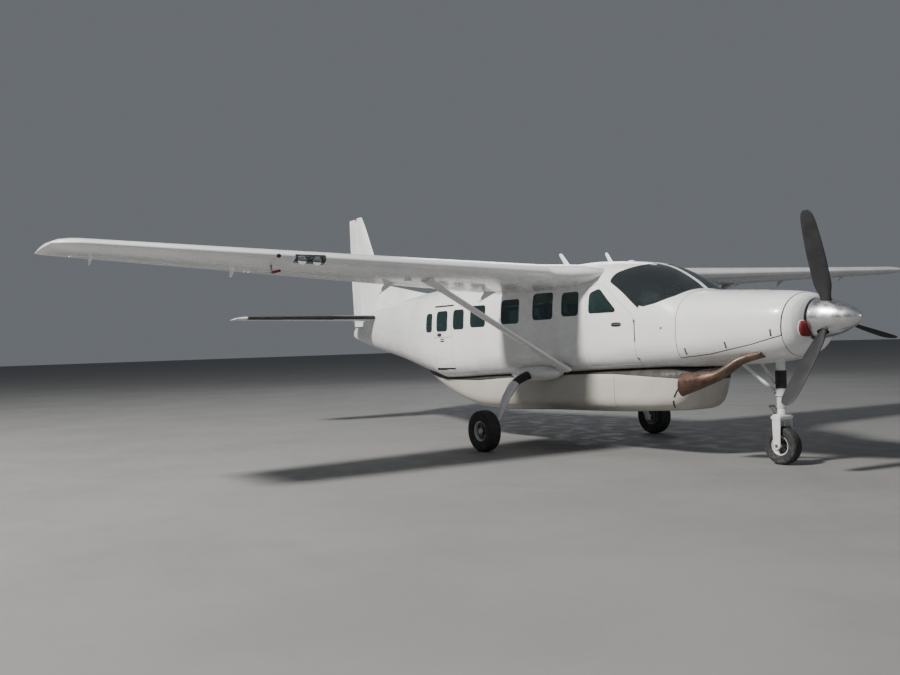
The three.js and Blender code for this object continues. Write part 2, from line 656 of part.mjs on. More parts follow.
// Oval pipe through places given as station, Y, Z, half width and half height
function ovalPipe(places, points = 16) {
  return loft(
    places.map(({ s, y, z, across, tall }) =>
      Array.from({ length: points }, (_, i) => {
        const a = (2 * Math.PI * i) / points;
        return new THREE.Vector3(at(s), y + across * Math.cos(a), z + tall * Math.sin(a));
      }),
    ),
  );
}

const EXHAUST = [
  { s: 1080, y: -380, z: 1400, across: 80, tall: 48 },
  { s: 1290, y: -545, z: 1322, across: 96, tall: 52 },
  { s: 1430, y: -600, z: 1226, across: 100, tall: 62 },
  { s: 1570, y: -640, z: 1142, across: 104, tall: 72 },
  { s: 1780, y: -690, z: 1082, across: 106, tall: 104 },
  { s: 2110, y: -712, z: 1010, across: 100, tall: 147 },
];
const EXHAUST_WALL = 8;

function exhaust() {
  const bore = EXHAUST.slice(1).map((place, i, all) => ({
    ...place,
    s: place.s + (i === all.length - 1 ? 30 : 0),
    across: place.across - EXHAUST_WALL,
    tall: place.tall - EXHAUST_WALL,
  }));
  return cut(ovalPipe(EXHAUST), ovalPipe(bore), cowlSkin, cabinSkin);
}

// Wing and tail surfaces
const halfThickness = (f) =>
  5 * (0.2969 * Math.sqrt(f) - 0.126 * f - 0.3516 * f ** 2 + 0.2843 * f ** 3 - 0.1036 * f ** 4);

// A point on a surface's section, as a share of the chord, with face +1 above and -1 below
function foilPoint(table, side, y, share, face, camber, grow) {
  const of = (column) => between(table, "y", y, column);
  const [lead, trail] = [of("lead"), of("trail")];
  const chord = trail - lead;
  const thick = Math.max(halfThickness(share) * of("thick") * chord, share > 0 ? TRAIL_HALF : 0);
  const z = THREE.MathUtils.lerp(of("leadZ"), of("trailZ"), share) + camber * chord * 4 * share * (1 - share);
  return new THREE.Vector3(at(lead + share * chord), side * y, z + face * (thick + grow));
}

function foilRing(table, side, y, camber, grow) {
  const upper = CHORD_STEPS.map((f) => foilPoint(table, side, y, f, 1, camber, grow));
  const lower = CHORD_STEPS.slice(grow ? 0 : 1)
    .reverse()
    .map((f) => foilPoint(table, side, y, f, -1, camber, grow));
  return [...upper, ...lower];
}

function foil(table, side, camber, grow = 0) {
  return loft(table.map((row) => foilRing(table, side, row.y, camber, grow)));
}

// The round nose and tail of a surface that turns about its hinge line
function hingePoint(table, side, y, s, camber) {
  const share = (s - between(table, "y", y, "lead")) /
    (between(table, "y", y, "trail") - between(table, "y", y, "lead"));
  const [up, down] = [1, -1].map((face) => foilPoint(table, side, y, share, face, camber, 0));
  return { centre: up.clone().add(down).multiplyScalar(0.5), radius: (up.z - down.z) / 2 };
}

function flapRing(table, side, y, s, camber) {
  const { centre, radius } = hingePoint(table, side, y, s, camber);
  const nose = Array.from({ length: 7 }, (_, i) => {
    const a = (Math.PI * i) / 6;
    return new THREE.Vector3(centre.x + radius * Math.sin(a), centre.y, centre.z + radius * Math.cos(a));
  });
  const tail = [-1, 1].map((face) => foilPoint(table, side, y, 1, face, camber, 0));
  return [...nose, ...tail];
}

// A three-cornered arm under a surface: its top runs back from the hinge line, and its tip hangs behind
function hingeArm(table, side, hinge, { y, tipBack, tipDrop }, camber) {
  const share = (y - hinge.inner) / (hinge.outer - hinge.inner);
  const s = THREE.MathUtils.lerp(hinge.innerS, hinge.outerS, share);
  const { centre, radius } = hingePoint(table, side, y, s, camber);
  const [trail, trailZ] = [between(table, "y", y, "trail"), between(table, "y", y, "trailZ")];
  const front = [s + ARM.bury, centre.z - radius + ARM.bury];
  const back = [trail - ARM.short, THREE.MathUtils.lerp(trailZ, centre.z, 0.3)];
  const [tip, low] = [trail + tipBack, trailZ - tipDrop];
  const outline = [front, [tip, low], [tip, low + ARM.tip], back];
  return sidePrism(outline, side * (y - ARM.half), side * (y + ARM.half));
}

// A hinge pin runs through the surface and out to the walls at each end of its bay
function flapSurface(table, side, hinge, camber) {
  const { inner, outer, innerS, outerS, innerWall = inner - END_GAP, arms = [] } = hinge;
  const ends = [[inner, innerS], [outer, outerS]];
  const [a, b] = ends.map(([y, s]) => hingePoint(table, side, y, s, camber).centre);
  const beyond = (from, to) => {
    const p = from.clone().lerp(to, 1.04);
    return [LENGTH / 2 - p.x, p.y, p.z];
  };
  const [near, far] = [innerWall + PIN_GAP, outer + END_GAP - PIN_GAP];
  const walls = box(0, PAST_TAIL, side * near, side * far, 1500, 3500);
  const pin = bar(beyond(b, a), beyond(a, b), HINGE_PIN).intersect(walls);
  const panel = loft(ends.map(([y, s]) => flapRing(table, side, y, s, camber)));
  return join(panel, pin, ...arms.map((arm) => hingeArm(table, side, hinge, arm, camber)));
}

// The room that a flap or aileron needs, cut through the surface in plan
function flapBay(table, side, { inner, outer, innerS, outerS }, camber, grow = 0) {
  const ends = [[inner, innerS, -END_GAP], [outer, outerS, END_GAP]].map(([y, s, gap]) => {
    const radius = hingePoint(table, side, y, s, camber).radius;
    return [s - radius - NOSE_GAP + grow, side * (y + gap)];
  });
  const outline = [ends[0], ends[1], [PAST_TAIL, ends[1][1]], [PAST_TAIL, ends[0][1]]];
  return loft([1900, 3200].map((z) => outline.map(([s, y]) => new THREE.Vector3(at(s), y, z))));
}

const TIE_DOWN = { s: 4560, y: 3350, half: 35, tall: 30 };

function wing(side) {
  const { s, y, half, tall } = TIE_DOWN;
  const lug = foilPoint(WING, side, y, 0.36, -1, WING_CAMBER, 0).z;
  const pad = box(s - half, s + half, side * (y - half), side * (y + half), lug - tall, lug + 40);
  return cut(
    foil(WING, side, WING_CAMBER).add(pad),
    flapBay(WING, side, AILERON, WING_CAMBER),
    flapBay(WING, side, FLAP, WING_CAMBER),
    cabinSkin,
  );
}

const elevatorLine = {
  ...ELEVATOR,
  innerS: ELEVATOR.hingeS,
  outerS: ELEVATOR.hingeS,
  innerWall: ELEVATOR.coneY,
};

function stabilizer(grow = 0) {
  const rows = [...STABILIZER].reverse().map((row) => foilRing(STABILIZER, -1, row.y, 0, grow));
  const more = STABILIZER.slice(1).map((row) => foilRing(STABILIZER, 1, row.y, 0, grow));
  const whole = loft([...rows, ...more]);
  const bays = [PORT, STARBOARD].map((side) =>
    flapBay(STABILIZER, side, { ...elevatorLine, inner: -END_GAP - 1 }, 0, grow),
  );
  return cut(whole, ...bays);
}

// Fin and rudder
function finPoint(z, share, face) {
  const of = (column) => between(FIN, "z", z, column);
  const chord = of("trail") - of("lead");
  const thick = Math.max(halfThickness(share) * of("thick") * chord, share > 0 ? TRAIL_HALF : 0);
  return new THREE.Vector3(at(of("lead") + share * chord), face * thick, z);
}

function finRing(z) {
  const right = CHORD_STEPS.map((f) => finPoint(z, f, 1));
  const left = CHORD_STEPS.slice(1).reverse().map((f) => finPoint(z, f, -1));
  return [...right, ...left];
}

function rudderEnd(z, s) {
  const share = (s - between(FIN, "z", z, "lead")) /
    (between(FIN, "z", z, "trail") - between(FIN, "z", z, "lead"));
  return { x: at(s), radius: finPoint(z, share, 1).y };
}

function rudderRing(z, s) {
  const { x, radius } = rudderEnd(z, s);
  const nose = Array.from({ length: 7 }, (_, i) => {
    const a = (Math.PI * i) / 6;
    return new THREE.Vector3(x + radius * Math.sin(a), radius * Math.cos(a), z);
  });
  return [...nose, finPoint(z, 1, -1), finPoint(z, 1, 1)];
}

function fin() {
  const { frontS, backS, topZ, half, baseZ } = DORSAL;
  const front = between(TAIL, "s", frontS, "high");
  const dorsal = sidePrism([[frontS, front], [backS, topZ], [backS, baseZ], [frontS, baseZ]], -half, half);
  const bay = sidePrism(
    [[RUDDER.baseZ, RUDDER.baseS], [RUDDER.topZ + 60, RUDDER.topS + 8]]
      .map(([z, s]) => [s - rudderEnd(Math.min(z, 4480), s).radius - NOSE_GAP, z])
      .concat([[PAST_TAIL, RUDDER.topZ + 60], [PAST_TAIL, 1900], [RUDDER.baseS - 90, 1900]]),
    -SIDE_NEAR,
    SIDE_NEAR,
  );
  const blade = loft(FIN.map((row) => finRing(row.z)));
  return cut(blade.add(dorsal), bay, tailSkin, stabilizer(SEAT));
}

function rudder() {
  const { baseZ, topZ, baseS, topS } = RUDDER;
  const down = (topS - baseS) / (topZ - baseZ);
  const foot = RUDDER_ROOM.z + SEAT;
  const pin = bar([baseS - down * (baseZ - foot), 0, foot + 1], [baseS, 0, baseZ + 40], RUDDER_PIN);
  return loft([rudderRing(baseZ, baseS), rudderRing(topZ, topS)]).add(pin);
}

const RUDDER_ROOM = { s: RUDDER.baseS - 95, z: 2035 };

function tailCone() {
  const outer = body(TAIL, CABIN_END_S + SEAT, 12500);
  const inner = body(TAIL, CABIN_END_S, 11400, -CABIN_WALL + 12);
  const room = box(RUDDER_ROOM.s, PAST_TAIL, -SIDE_NEAR, SIDE_NEAR, RUDDER_ROOM.z, 3000);
  const elevators = [PORT, STARBOARD].map((side) =>
    box(ELEVATOR.hingeS - 70, PAST_TAIL, side * ELEVATOR.coneY, side * SIDE_FAR, 2000, 2600),
  );
  return cut(outer, inner, room, ...elevators, stabilizer(SEAT));
}

// Wing strut: two ends as station, Y and Z, with a streamlined section
const STRUT = {
  low: [4340, 780, 1190],
  high: [4500, 3100, 2520],
  chord: 190,
  thick: 66,
  cuff: 1.5,
};

function strut(side) {
  const [low, high] = [STRUT.low, STRUT.high].map(([s, y, z]) => new THREE.Vector3(at(s), side * y, z));
  const along = high.clone().sub(low).normalize();
  const fore = new THREE.Vector3(1, 0, 0).addScaledVector(along, -along.x).normalize();
  const up = new THREE.Vector3().crossVectors(along, fore);
  const ring = (share, size) =>
    Array.from({ length: 14 }, (_, i) => {
      const a = (2 * Math.PI * i) / 14;
      return low.clone().lerp(high, share)
        .addScaledVector(fore, (STRUT.chord / 2) * size * Math.cos(a))
        .addScaledVector(up, (STRUT.thick / 2) * size * Math.sin(a));
    });
  const spar = loft([ring(0, STRUT.cuff), ring(0.09, 1), ring(0.93, 1), ring(1, STRUT.cuff)]);
  return cut(spar, cabinSkin, foil(WING, side, WING_CAMBER, SEAT));
}

// Main gear leg: a sprung tube that curves out and down to the axle; places as Y, Z and half sizes
const LEG = [
  { y: 560, z: 1160, deep: 95, thick: 60 },
  { y: 860, z: 1120, deep: 95, thick: 58 },
  { y: 1120, z: 1030, deep: 80, thick: 50 },
  { y: 1310, z: 850, deep: 70, thick: 44 },
  { y: 1470, z: 560, deep: 62, thick: 38 },
  { y: 1610, z: 330, deep: 56, thick: 34 },
  { y: 1640, z: 250, deep: 50, thick: 30 },
];

// Fairing where the leg leaves the belly
const GEAR_FAIRING = [
  { s: 4560, y: 690, z: 1140, across: 50, tall: 36 },
  { s: 4700, y: 730, z: 1136, across: 125, tall: 90 },
  { s: 4980, y: 765, z: 1129, across: 188, tall: 116 },
  { s: 5250, y: 765, z: 1122, across: 184, tall: 112 },
  { s: 5550, y: 725, z: 1112, across: 115, tall: 78 },
  { s: 5780, y: 680, z: 1104, across: 36, tall: 26 },
];

function gearLeg(side) {
  const rings = LEG.map(({ y, z, deep, thick }, i) => {
    const before = LEG[Math.max(i - 1, 0)];
    const after = LEG[Math.min(i + 1, LEG.length - 1)];
    const size = Math.hypot(after.y - before.y, after.z - before.z);
    const [ny, nz] = [-(after.z - before.z) / size, (after.y - before.y) / size];
    return Array.from({ length: 10 }, (_, k) => {
      const a = (2 * Math.PI * k) / 10;
      const lift = thick * Math.sin(a);
      return new THREE.Vector3(at(MAIN_WHEEL.s) + deep * Math.cos(a), side * (y + ny * lift), z + nz * lift);
    });
  });
  const { s, radius, y } = MAIN_WHEEL;
  const axle = bar([s, side * 1590, radius], [s, side * (y + 20), radius], AXLE_RADIUS, AXLE_RADIUS, 20);
  const fairing = ovalPipe(GEAR_FAIRING.map((place) => ({ ...place, y: side * place.y })), 14);
  return cut(join(loft(rings), axle, fairing), cabinSkin, podSkin);
}

// A turned ring or disc about a wheel's axis, from a profile of radius and Y that closes on itself
function wheelTurn(profile, { s, radius }, y, steps = 24) {
  const points = [...profile, profile[0]].map(([r, across]) => new THREE.Vector2(r, across));
  const geometry = new THREE.LatheGeometry(points, steps);
  geometry.applyMatrix4(new THREE.Matrix4().makeTranslation(at(s), y, radius));
  return outward(geometry);
}

function tyre(wheel, y) {
  const { radius, half, rim } = wheel;
  const bead = rim + SEAT;
  const profile = [
    [bead, -half * 0.72], [rim + 26, -half * 0.86], [radius * 0.78, -half], [radius * 0.93, -half * 0.86],
    [radius, -half * 0.5], [radius, half * 0.5], [radius * 0.93, half * 0.86], [radius * 0.78, half],
    [rim + 26, half * 0.86], [bead, half * 0.72],
  ];
  return wheelTurn(profile, wheel, y);
}

function rim(wheel, y, outer) {
  const { half, rim: edge, hub } = wheel;
  const bore = AXLE_RADIUS + 0.5;
  const [near, far] = outer > 0 ? [-1, 1] : [1, -1];
  const ring = [
    [bore, near * half * 0.62], [hub, near * half * 0.62], [hub + 8, near * half * 0.3],
    [edge - 14, near * half * 0.3], [edge - 4, near * half * 0.7], [edge, near * half * 0.7],
    [edge, far * half * 0.7], [edge - 4, far * half * 0.7], [edge - 14, far * half * 0.25],
    [hub + 8, far * half * 0.25], [hub, far * half * 0.6], [bore, far * half * 0.6],
  ];
  return wheelTurn(ring, wheel, y);
}

// Nose gear: an upright leg and a drag link from the firewall's foot, above a fork that steers
const NOSE_LEG = {
  s: 1140,
  topZ: 1330,
  lowZ: 700,
  radius: 58,
  collar: [860, 940],
  link: { low: [1180, 40, 900], high: [1640, 210, 1330], radius: 22 },
};
const FORK = { crownZ: 545, crownTop: 640, half: 128, plate: 22, deep: 55 };

const upright = (s, z0, z1, radius) => bar([s, 0, z0], [s, 0, z1], radius, radius, 18);

function noseLeg() {
  const { s, topZ, lowZ, radius, collar, link } = NOSE_LEG;
  const links = [PORT, STARBOARD].map((side) => {
    const [low, high] = [link.low, link.high].map(([x, y, z]) => [x, side * y, z]);
    return bar(low, high, link.radius);
  });
  return cut(
    join(upright(s, lowZ, topZ, radius), upright(s, ...collar, radius + 16), ...links),
    cowlSkin,
  );
}

function noseFork() {
  const { crownZ, crownTop, half, plate, deep } = FORK;
  const { s, lowZ, radius } = NOSE_LEG;
  const stem = upright(s, crownTop - 10, lowZ - SEAT, radius - 4);
  const crown = box(s - 70, s + 70, -half, half, crownZ, crownTop);
  const plates = [-1, 1].map((side) =>
    sidePrism(
      [
        [NOSE_WHEEL.s - deep, NOSE_WHEEL.radius - 45], [NOSE_WHEEL.s + deep, NOSE_WHEEL.radius - 45],
        [s + 60, crownZ + 5], [s - 60, crownZ + 5],
      ],
      side * half,
      side * (half - plate),
    ),
  );
  const { s: hubS, radius: hubZ } = NOSE_WHEEL;
  const axle = bar([hubS, 5 - half, hubZ], [hubS, half - 5, hubZ], AXLE_RADIUS, AXLE_RADIUS, 20);
  return join(stem, crown, ...plates, axle);
}

// Propeller: a spinner and three feathered blades joined by the hub inside it
const SPINNER = [
  [0, 0], [6, 22], [60, 84], [160, 148], [290, 200], [430, 232], [560, 242], [575, 238], [575, 0],
];
const BLADE = [
  { r: 90, chord: 110, thick: 90 }, { r: 250, chord: 130, thick: 62 }, { r: 420, chord: 215, thick: 34 },
  { r: 800, chord: 235, thick: 24 }, { r: 1180, chord: 205, thick: 14 }, { r: 1290, chord: 150, thick: 10 },
  { r: 1322, chord: 80, thick: 8 },
];

// The blade's own frame: along its span, with the chord along X and a little twist at the root
function blade(angle) {
  const across = new THREE.Vector3(0, Math.cos(angle), -Math.sin(angle));
  const span = new THREE.Vector3(0, Math.sin(angle), Math.cos(angle));
  const hub = new THREE.Vector3(at(PROP.s), 0, PROP.z);
  return loft(
    BLADE.map(({ r, chord, thick }) => {
      const twist = THREE.MathUtils.mapLinear(r, 90, PROP.radius, 0.3, -0.06);
      return Array.from({ length: 10 }, (_, i) => {
        const a = (2 * Math.PI * i) / 10;
        const [u, v] = [(chord / 2) * Math.cos(a), (thick / 2) * Math.sin(a)];
        return hub.clone().addScaledVector(span, r)
          .add(new THREE.Vector3(u * Math.cos(twist) - v * Math.sin(twist), 0, 0))
          .addScaledVector(across, u * Math.sin(twist) + v * Math.cos(twist));
      });
    }),
  );
}

const HUB = [[330, 0], [330, 100], [500, 100], [500, 80], [640 - SEAT, 80], [640 - SEAT, 0]];
const HUB_STEPS = 16;
const bladeAngles = Array.from(
  { length: PROP.blades },
  (_, i) => -PROP.lean + (2 * Math.PI * i) / PROP.blades,
);

function propellerBlades() {
  const hub = turned(HUB, 0, PROP.z, HUB_STEPS);
  return join(hub, ...bladeAngles.map(blade));
}

function spinner() {
  const shell = turned(SPINNER, 0, PROP.z);
  const hollow = turned([[300, 0], [300, 100 + SEAT], [600, 100 + SEAT], [600, 0]], 0, PROP.z, HUB_STEPS);
  const grown = bladeAngles.map((angle) => bladeSlot(angle));
  return cut(shell, hollow, ...grown);
}

// Room in the spinner for a blade's root
function bladeSlot(angle) {
  const span = new THREE.Vector3(0, Math.sin(angle), Math.cos(angle));
  const across = new THREE.Vector3(0, Math.cos(angle), -Math.sin(angle));
  const hub = new THREE.Vector3(at(PROP.s), 0, PROP.z);
  return loft(
    [60, 300].map((r) =>
      Array.from({ length: 10 }, (_, i) => {
        const a = (2 * Math.PI * i) / 10;
        return hub.clone().addScaledVector(span, r)
          .add(new THREE.Vector3(74 * Math.cos(a), 0, 0))
          .addScaledVector(across, 50 * Math.sin(a));
      }),
    ),
  );
}

// Cargo pod under the belly, hollow, with loading doors in its port side
const POD_ROOM = { front: 2600, back: 7300 };
const POD_DOORS = { front: [3560, 4480], rear: [5500, 6460] };
const POD_DOOR_Z = { low: 640, high: 1000 };
const podSkin = longBody(POD, SEAT);
const podBody = cut(body(POD, POD[0].s, POD.at(-1).s), bodySkin, cowlSkin);

function podWall() {
  const lowered = CABIN.map((row) => ({ ...row, low: row.low - POD_WALL }));
  const roof = body(lowered, FIREWALL_S, CABIN_END_S, 10);
  const room = body(POD, POD_ROOM.front, POD_ROOM.back, -POD_WALL).subtract(roof);
  return podBody.subtract(room);
}

const podDoorOutline = ([front, back]) => rectangle(front, back, POD_DOOR_Z.low, POD_DOOR_Z.high);

function cargoPod() {
  const holes = Object.values(POD_DOORS).map((ends) => sideCut(podDoorOutline(ends), PORT));
  return carry(cut(podWall(), ...holes), ["podFront", PORT], ["podRear", PORT]);
}

const podDoor = (ends, name) =>
  hang(podWall().intersect(sideCut(inset(podDoorOutline(ends), CLEAR / 2), PORT)), name, PORT);

// The model
const model = new THREE.Group();

function add(name, shape, look) {
  const [color, roughness, metalness] = COLOURS[look];
  const { vertProperties, triVerts } = shape.getMesh();
  const geometry = new THREE.BufferGeometry();
  geometry.setAttribute("position", new THREE.Float32BufferAttribute(vertProperties, 3));
  geometry.setIndex(new THREE.Uint32BufferAttribute(triVerts, 1));
  geometry.computeVertexNormals();
  const mesh = new THREE.Mesh(geometry, new THREE.MeshStandardMaterial({ color, roughness, metalness }));
  mesh.name = name;
  model.add(mesh);
}

const SIDES = { left: PORT, right: STARBOARD };

add("cabin_shell", join(cabinShell(), ...ANTENNAS.map(antenna)), "white");
add("tail_cone", tailCone(), "white");
add("cabin_floor", cabinFloor(), "grey");
add("instrument_panel", instrumentPanel(), "dark");
add("passenger_seats", passengerSeats(), "cloth");
add("nose_bowl", noseBowl(), "white");
add("cowl_lower", cowlLower(), "white");
add("engine_block", engineBlock(), "grey");
add("exhaust_stack", exhaust(), "exhaust");
add("fin", fin(), "white");
add("rudder", rudder(), "white");
add("stabilizer", stabilizer(), "white");
add("cargo_pod", cargoPod(), "white");
add("pod_door_front", podDoor(POD_DOORS.front, "podFront"), "white");
add("pod_door_rear", podDoor(POD_DOORS.rear, "podRear"), "white");
add("airstair_upper", door("airstairUpper", STARBOARD, [windowOutline(AIRSTAIR_WINDOW)]), "white");
add("airstair_lower", door("airstairLower", STARBOARD), "white");
add("airstair_glass", doorGlass([AIRSTAIR_WINDOW], STARBOARD), "glass");
add("cargo_door_upper", door("cargoUpper", PORT, CARGO_WINDOWS.map(windowOutline)), "white");
add("cargo_door_lower", door("cargoLower", PORT), "white");
add("cargo_glass", doorGlass(CARGO_WINDOWS, PORT), "glass");
add("spinner", spinner(), "metal");
add("propeller_blades", propellerBlades(), "dark");
add("nose_gear_leg", noseLeg(), "white");
add("nose_fork", noseFork(), "white");
add("nose_wheel", rim(NOSE_WHEEL, 0, 1), "white");
add("nose_tyre", tyre(NOSE_WHEEL, 0), "rubber");

for (const [name, side] of Object.entries(SIDES)) {
  add("windshield_" + name, windscreen(side), "glass");
  add("cabin_glass_" + name, cabinGlass(side), "glass");
  add("crew_door_" + name, door("crew", side, [crewWindow]), "white");
  add("crew_glass_" + name, panes([crewWindow], side), "glass");
  add("crew_seat_" + name, seat(CREW_SEAT.s, side * CREW_SEAT.y), "cloth");
  add("cowl_door_" + name, cowlDoor(side), "white");
  add("wing_" + name, wing(side), "white");
  add("aileron_" + name, flapSurface(WING, side, AILERON, WING_CAMBER), "white");
  add("flap_" + name, flapSurface(WING, side, FLAP, WING_CAMBER), "white");
  add("elevator_" + name, flapSurface(STABILIZER, side, elevatorLine, 0), "white");
  add("strut_" + name, strut(side), "white");
  add("gear_leg_" + name, gearLeg(side), "white");
  add("main_wheel_" + name, rim(MAIN_WHEEL, side * MAIN_WHEEL.y, side), "white");
  add("main_tyre_" + name, tyre(MAIN_WHEEL, side * MAIN_WHEEL.y), "rubber");
}

export default model;
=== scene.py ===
import math

import bmesh
import bpy
import numpy as np
from mathutils import Matrix, Vector
from mathutils.bvhtree import BVHTree
from mathutils.interpolate import poly_3d_calc


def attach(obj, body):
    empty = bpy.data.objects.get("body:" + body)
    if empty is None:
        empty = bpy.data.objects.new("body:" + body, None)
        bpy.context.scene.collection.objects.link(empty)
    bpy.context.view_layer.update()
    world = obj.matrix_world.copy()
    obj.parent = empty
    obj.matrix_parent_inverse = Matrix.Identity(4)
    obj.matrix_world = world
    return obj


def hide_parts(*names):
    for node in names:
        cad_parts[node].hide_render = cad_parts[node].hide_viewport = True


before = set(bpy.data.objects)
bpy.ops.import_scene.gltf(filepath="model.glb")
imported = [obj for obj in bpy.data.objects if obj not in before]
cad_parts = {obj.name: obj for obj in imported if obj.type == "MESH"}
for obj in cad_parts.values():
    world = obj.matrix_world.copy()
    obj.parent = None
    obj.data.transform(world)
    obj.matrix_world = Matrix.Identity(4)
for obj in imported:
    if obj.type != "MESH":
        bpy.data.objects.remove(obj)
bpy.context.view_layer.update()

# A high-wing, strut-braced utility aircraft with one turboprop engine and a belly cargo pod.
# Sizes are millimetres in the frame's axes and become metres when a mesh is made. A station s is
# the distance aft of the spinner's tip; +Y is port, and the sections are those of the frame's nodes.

MM = 0.001
LENGTH = 12670
PORT, STARBOARD = 1, -1
SIDES = {"left": PORT, "right": STARBOARD}
# The space left where one piece sits in another, and between two panels that open
SEAT, CLEAR = 0.3, 7
# The Y between which a block cuts through one side of the body, and a station behind the tail
SIDE_NEAR, SIDE_FAR, PAST_TAIL = 300, 1200, 13000


def at(s):
    return LENGTH / 2 - s


def lerp(a, b, t):
    return a + (b - a) * t


def turns(count):
    """Angles all the way round, evenly spaced."""
    return [2 * math.pi * k / count for k in range(count)]


# Smooth tables

def monotone(xs, ys):
    """A smooth curve through points that makes no new hill between them."""
    xs, ys = np.array(xs, float), np.array(ys, float)
    step = np.diff(xs)
    slope = np.diff(ys) / step
    tangent = np.zeros(len(xs))
    tangent[0], tangent[-1] = slope[0], slope[-1]
    for i in range(1, len(xs) - 1):
        if slope[i - 1] * slope[i] > 0:
            a, b = 2 * step[i] + step[i - 1], step[i] + 2 * step[i - 1]
            tangent[i] = (a + b) / (a / slope[i - 1] + b / slope[i])

    def value(x):
        if x <= xs[0]:
            return ys[0] + (x - xs[0]) * tangent[0]
        if x >= xs[-1]:
            return ys[-1] + (x - xs[-1]) * tangent[-1]
        i = int(np.searchsorted(xs, x)) - 1
        t = (x - xs[i]) / step[i]
        rise = ys[i] * (1 + 2 * t) * (1 - t) ** 2 + ys[i + 1] * t * t * (3 - 2 * t)
        return rise + step[i] * t * (1 - t) * (tangent[i] * (1 - t) - tangent[i + 1] * t)

    return value


class Table:
    """Rows whose first column is a place along the body; the others become smooth curves."""

    camber = 0

    def __init__(self, names, rows):
        columns = list(zip(*rows))
        self.marks = columns[0]
        self.ends = self.marks[0], self.marks[-1]
        for name, column in zip(names.split()[1:], columns[1:]):
            setattr(self, name, monotone(self.marks, column))

    def places(self, start, end, step):
        """Places from start to end, a step apart at most, with the rows' own among them."""
        marks = [start] + [m for m in self.marks if start < m < end] + [end]
        found = []
        for a, b in zip(marks, marks[1:]):
            count = max(2, math.ceil((b - a) / step))
            found += [lerp(a, b, i / count) for i in range(count)]
        return found + [end]


# Sections of the body and the pod: half width, the Z of the lowest, the widest and the highest point,
# and the powers of the curves above and below the widest one
FUSELAGE = Table("s half low wide high top base", [
    (596, 262, 1542, 1800, 2062, 2.0, 2.0),
    (612, 345, 1478, 1790, 2092, 2.1, 2.1),
    (660, 440, 1412, 1780, 2122, 2.2, 2.2),
    (865, 530, 1322, 1770, 2162, 2.3, 2.3),
    (1300, 590, 1268, 1760, 2196, 2.4, 2.5),
    (2085, 670, 1230, 1740, 2248, 2.5, 3.0),
    (2230, 695, 1220, 1740, 2256, 2.5, 3.2),
    (2400, 724, 1211, 1745, 2366, 2.5, 3.3),
    (2550, 748, 1204, 1750, 2460, 2.5, 3.4),
    (2800, 785, 1190, 1760, 2590, 2.5, 3.6),
    (3000, 808, 1182, 1775, 2662, 2.6, 3.8),
    (3250, 828, 1172, 1790, 2716, 2.8, 4.0),
    (3700, 843, 1155, 1800, 2772, 3.2, 4.2),
    (4200, 845, 1130, 1790, 2800, 3.4, 4.2),
    (6000, 845, 1062, 1740, 2752, 3.4, 4.2),
    (7900, 822, 985, 1700, 2684, 3.2, 3.8),
    (8300, 790, 1035, 1715, 2668, 3.0, 3.2),
    (10000, 520, 1340, 1880, 2560, 2.6, 2.6),
    (11100, 335, 1520, 1950, 2475, 2.4, 2.4),
    (12000, 165, 1680, 1960, 2400, 2.2, 2.2),
    (12500, 60, 1800, 1900, 2015, 2.0, 2.0),
])
POD = Table("s half low wide high top base", [
    (2062, 150, 1160, 1196, 1234, 2.4, 2.2),
    (2120, 235, 1060, 1160, 1238, 2.6, 2.4),
    (2200, 330, 925, 1110, 1241, 2.8, 2.5),
    (2290, 415, 790, 1060, 1243, 3.2, 2.8),
    (2370, 475, 680, 1020, 1243, 3.6, 3.2),
    (2450, 525, 636, 985, 1243, 4.0, 3.6),
    (2620, 582, 622, 940, 1240, 4.6, 3.8),
    (2820, 620, 610, 900, 1236, 5.0, 3.8),
    (3150, 641, 594, 885, 1228, 5.6, 3.7),
    (3500, 647, 572, 880, 1220, 6.0, 3.6),
    (5200, 645, 525, 850, 1150, 6.0, 3.4),
    (6450, 632, 485, 850, 1110, 6.0, 3.5),
    (6900, 612, 500, 862, 1108, 5.2, 3.6),
    (7300, 580, 555, 885, 1108, 4.6, 3.5),
    (7700, 540, 640, 925, 1112, 4.0, 3.3),
    (8100, 484, 748, 985, 1130, 3.6, 3.0),
    (8500, 406, 875, 1060, 1165, 3.0, 2.8),
    (8900, 300, 1010, 1115, 1205, 2.6, 2.4),
    (9150, 190, 1105, 1165, 1245, 2.4, 2.2),
])
# Wing, stabilizer and fin: the leading and trailing edges' stations and Z, and the thickness as a
# share of the chord
WING = Table("y lead trail leadZ trailZ thick", [
    (560, 3590, 5905, 2576, 2396, 0.14),
    (860, 3625, 5880, 2586, 2412, 0.145),
    (1300, 3915, 5835, 2601, 2436, 0.17),
    (1500, 3921, 5819, 2608, 2447, 0.1684),
    (7450, 4092, 5351, 2816, 2786, 0.1216),
    (7650, 4098, 5335, 2823, 2797, 0.12),
    (7850, 4170, 5318, 2834, 2808, 0.09),
    (7940, 4330, 5280, 2842, 2818, 0.03),
])
STABILIZER = Table("y lead trail leadZ trailZ thick", [
    (0, 10900, 12130, 2230, 2190, 0.1),
    (2900, 11499, 12077, 2261, 2229, 0.119),
    (3000, 11520, 12075, 2262, 2230, 0.12),
    (3125, 11640, 12050, 2262, 2235, 0.05),
])
FIN = Table("z lead trail thick", [
    (1990, 10635, 12545, 0.095),
    (2300, 10813, 12575, 0.095),
    (3700, 11629, 12655, 0.09),
    (4440, 12060, 12670, 0.09),
    (4500, 12110, 12670, 0.04),
])
DORSAL = {"front": 9250, "back": 11300, "top": 2960, "half": 26, "base": 2300}
WING.camber = 0.02
# Half of a trailing edge's thickness, then the walls of the hollow parts
TRAIL_HALF = 3
CABIN_WALL, COWL_WALL, POD_WALL, BULKHEAD = 42, 24, 24, 40
FIREWALL_S, CABIN_END_S = 2230, 8300
POD_ENDS = POD.ends

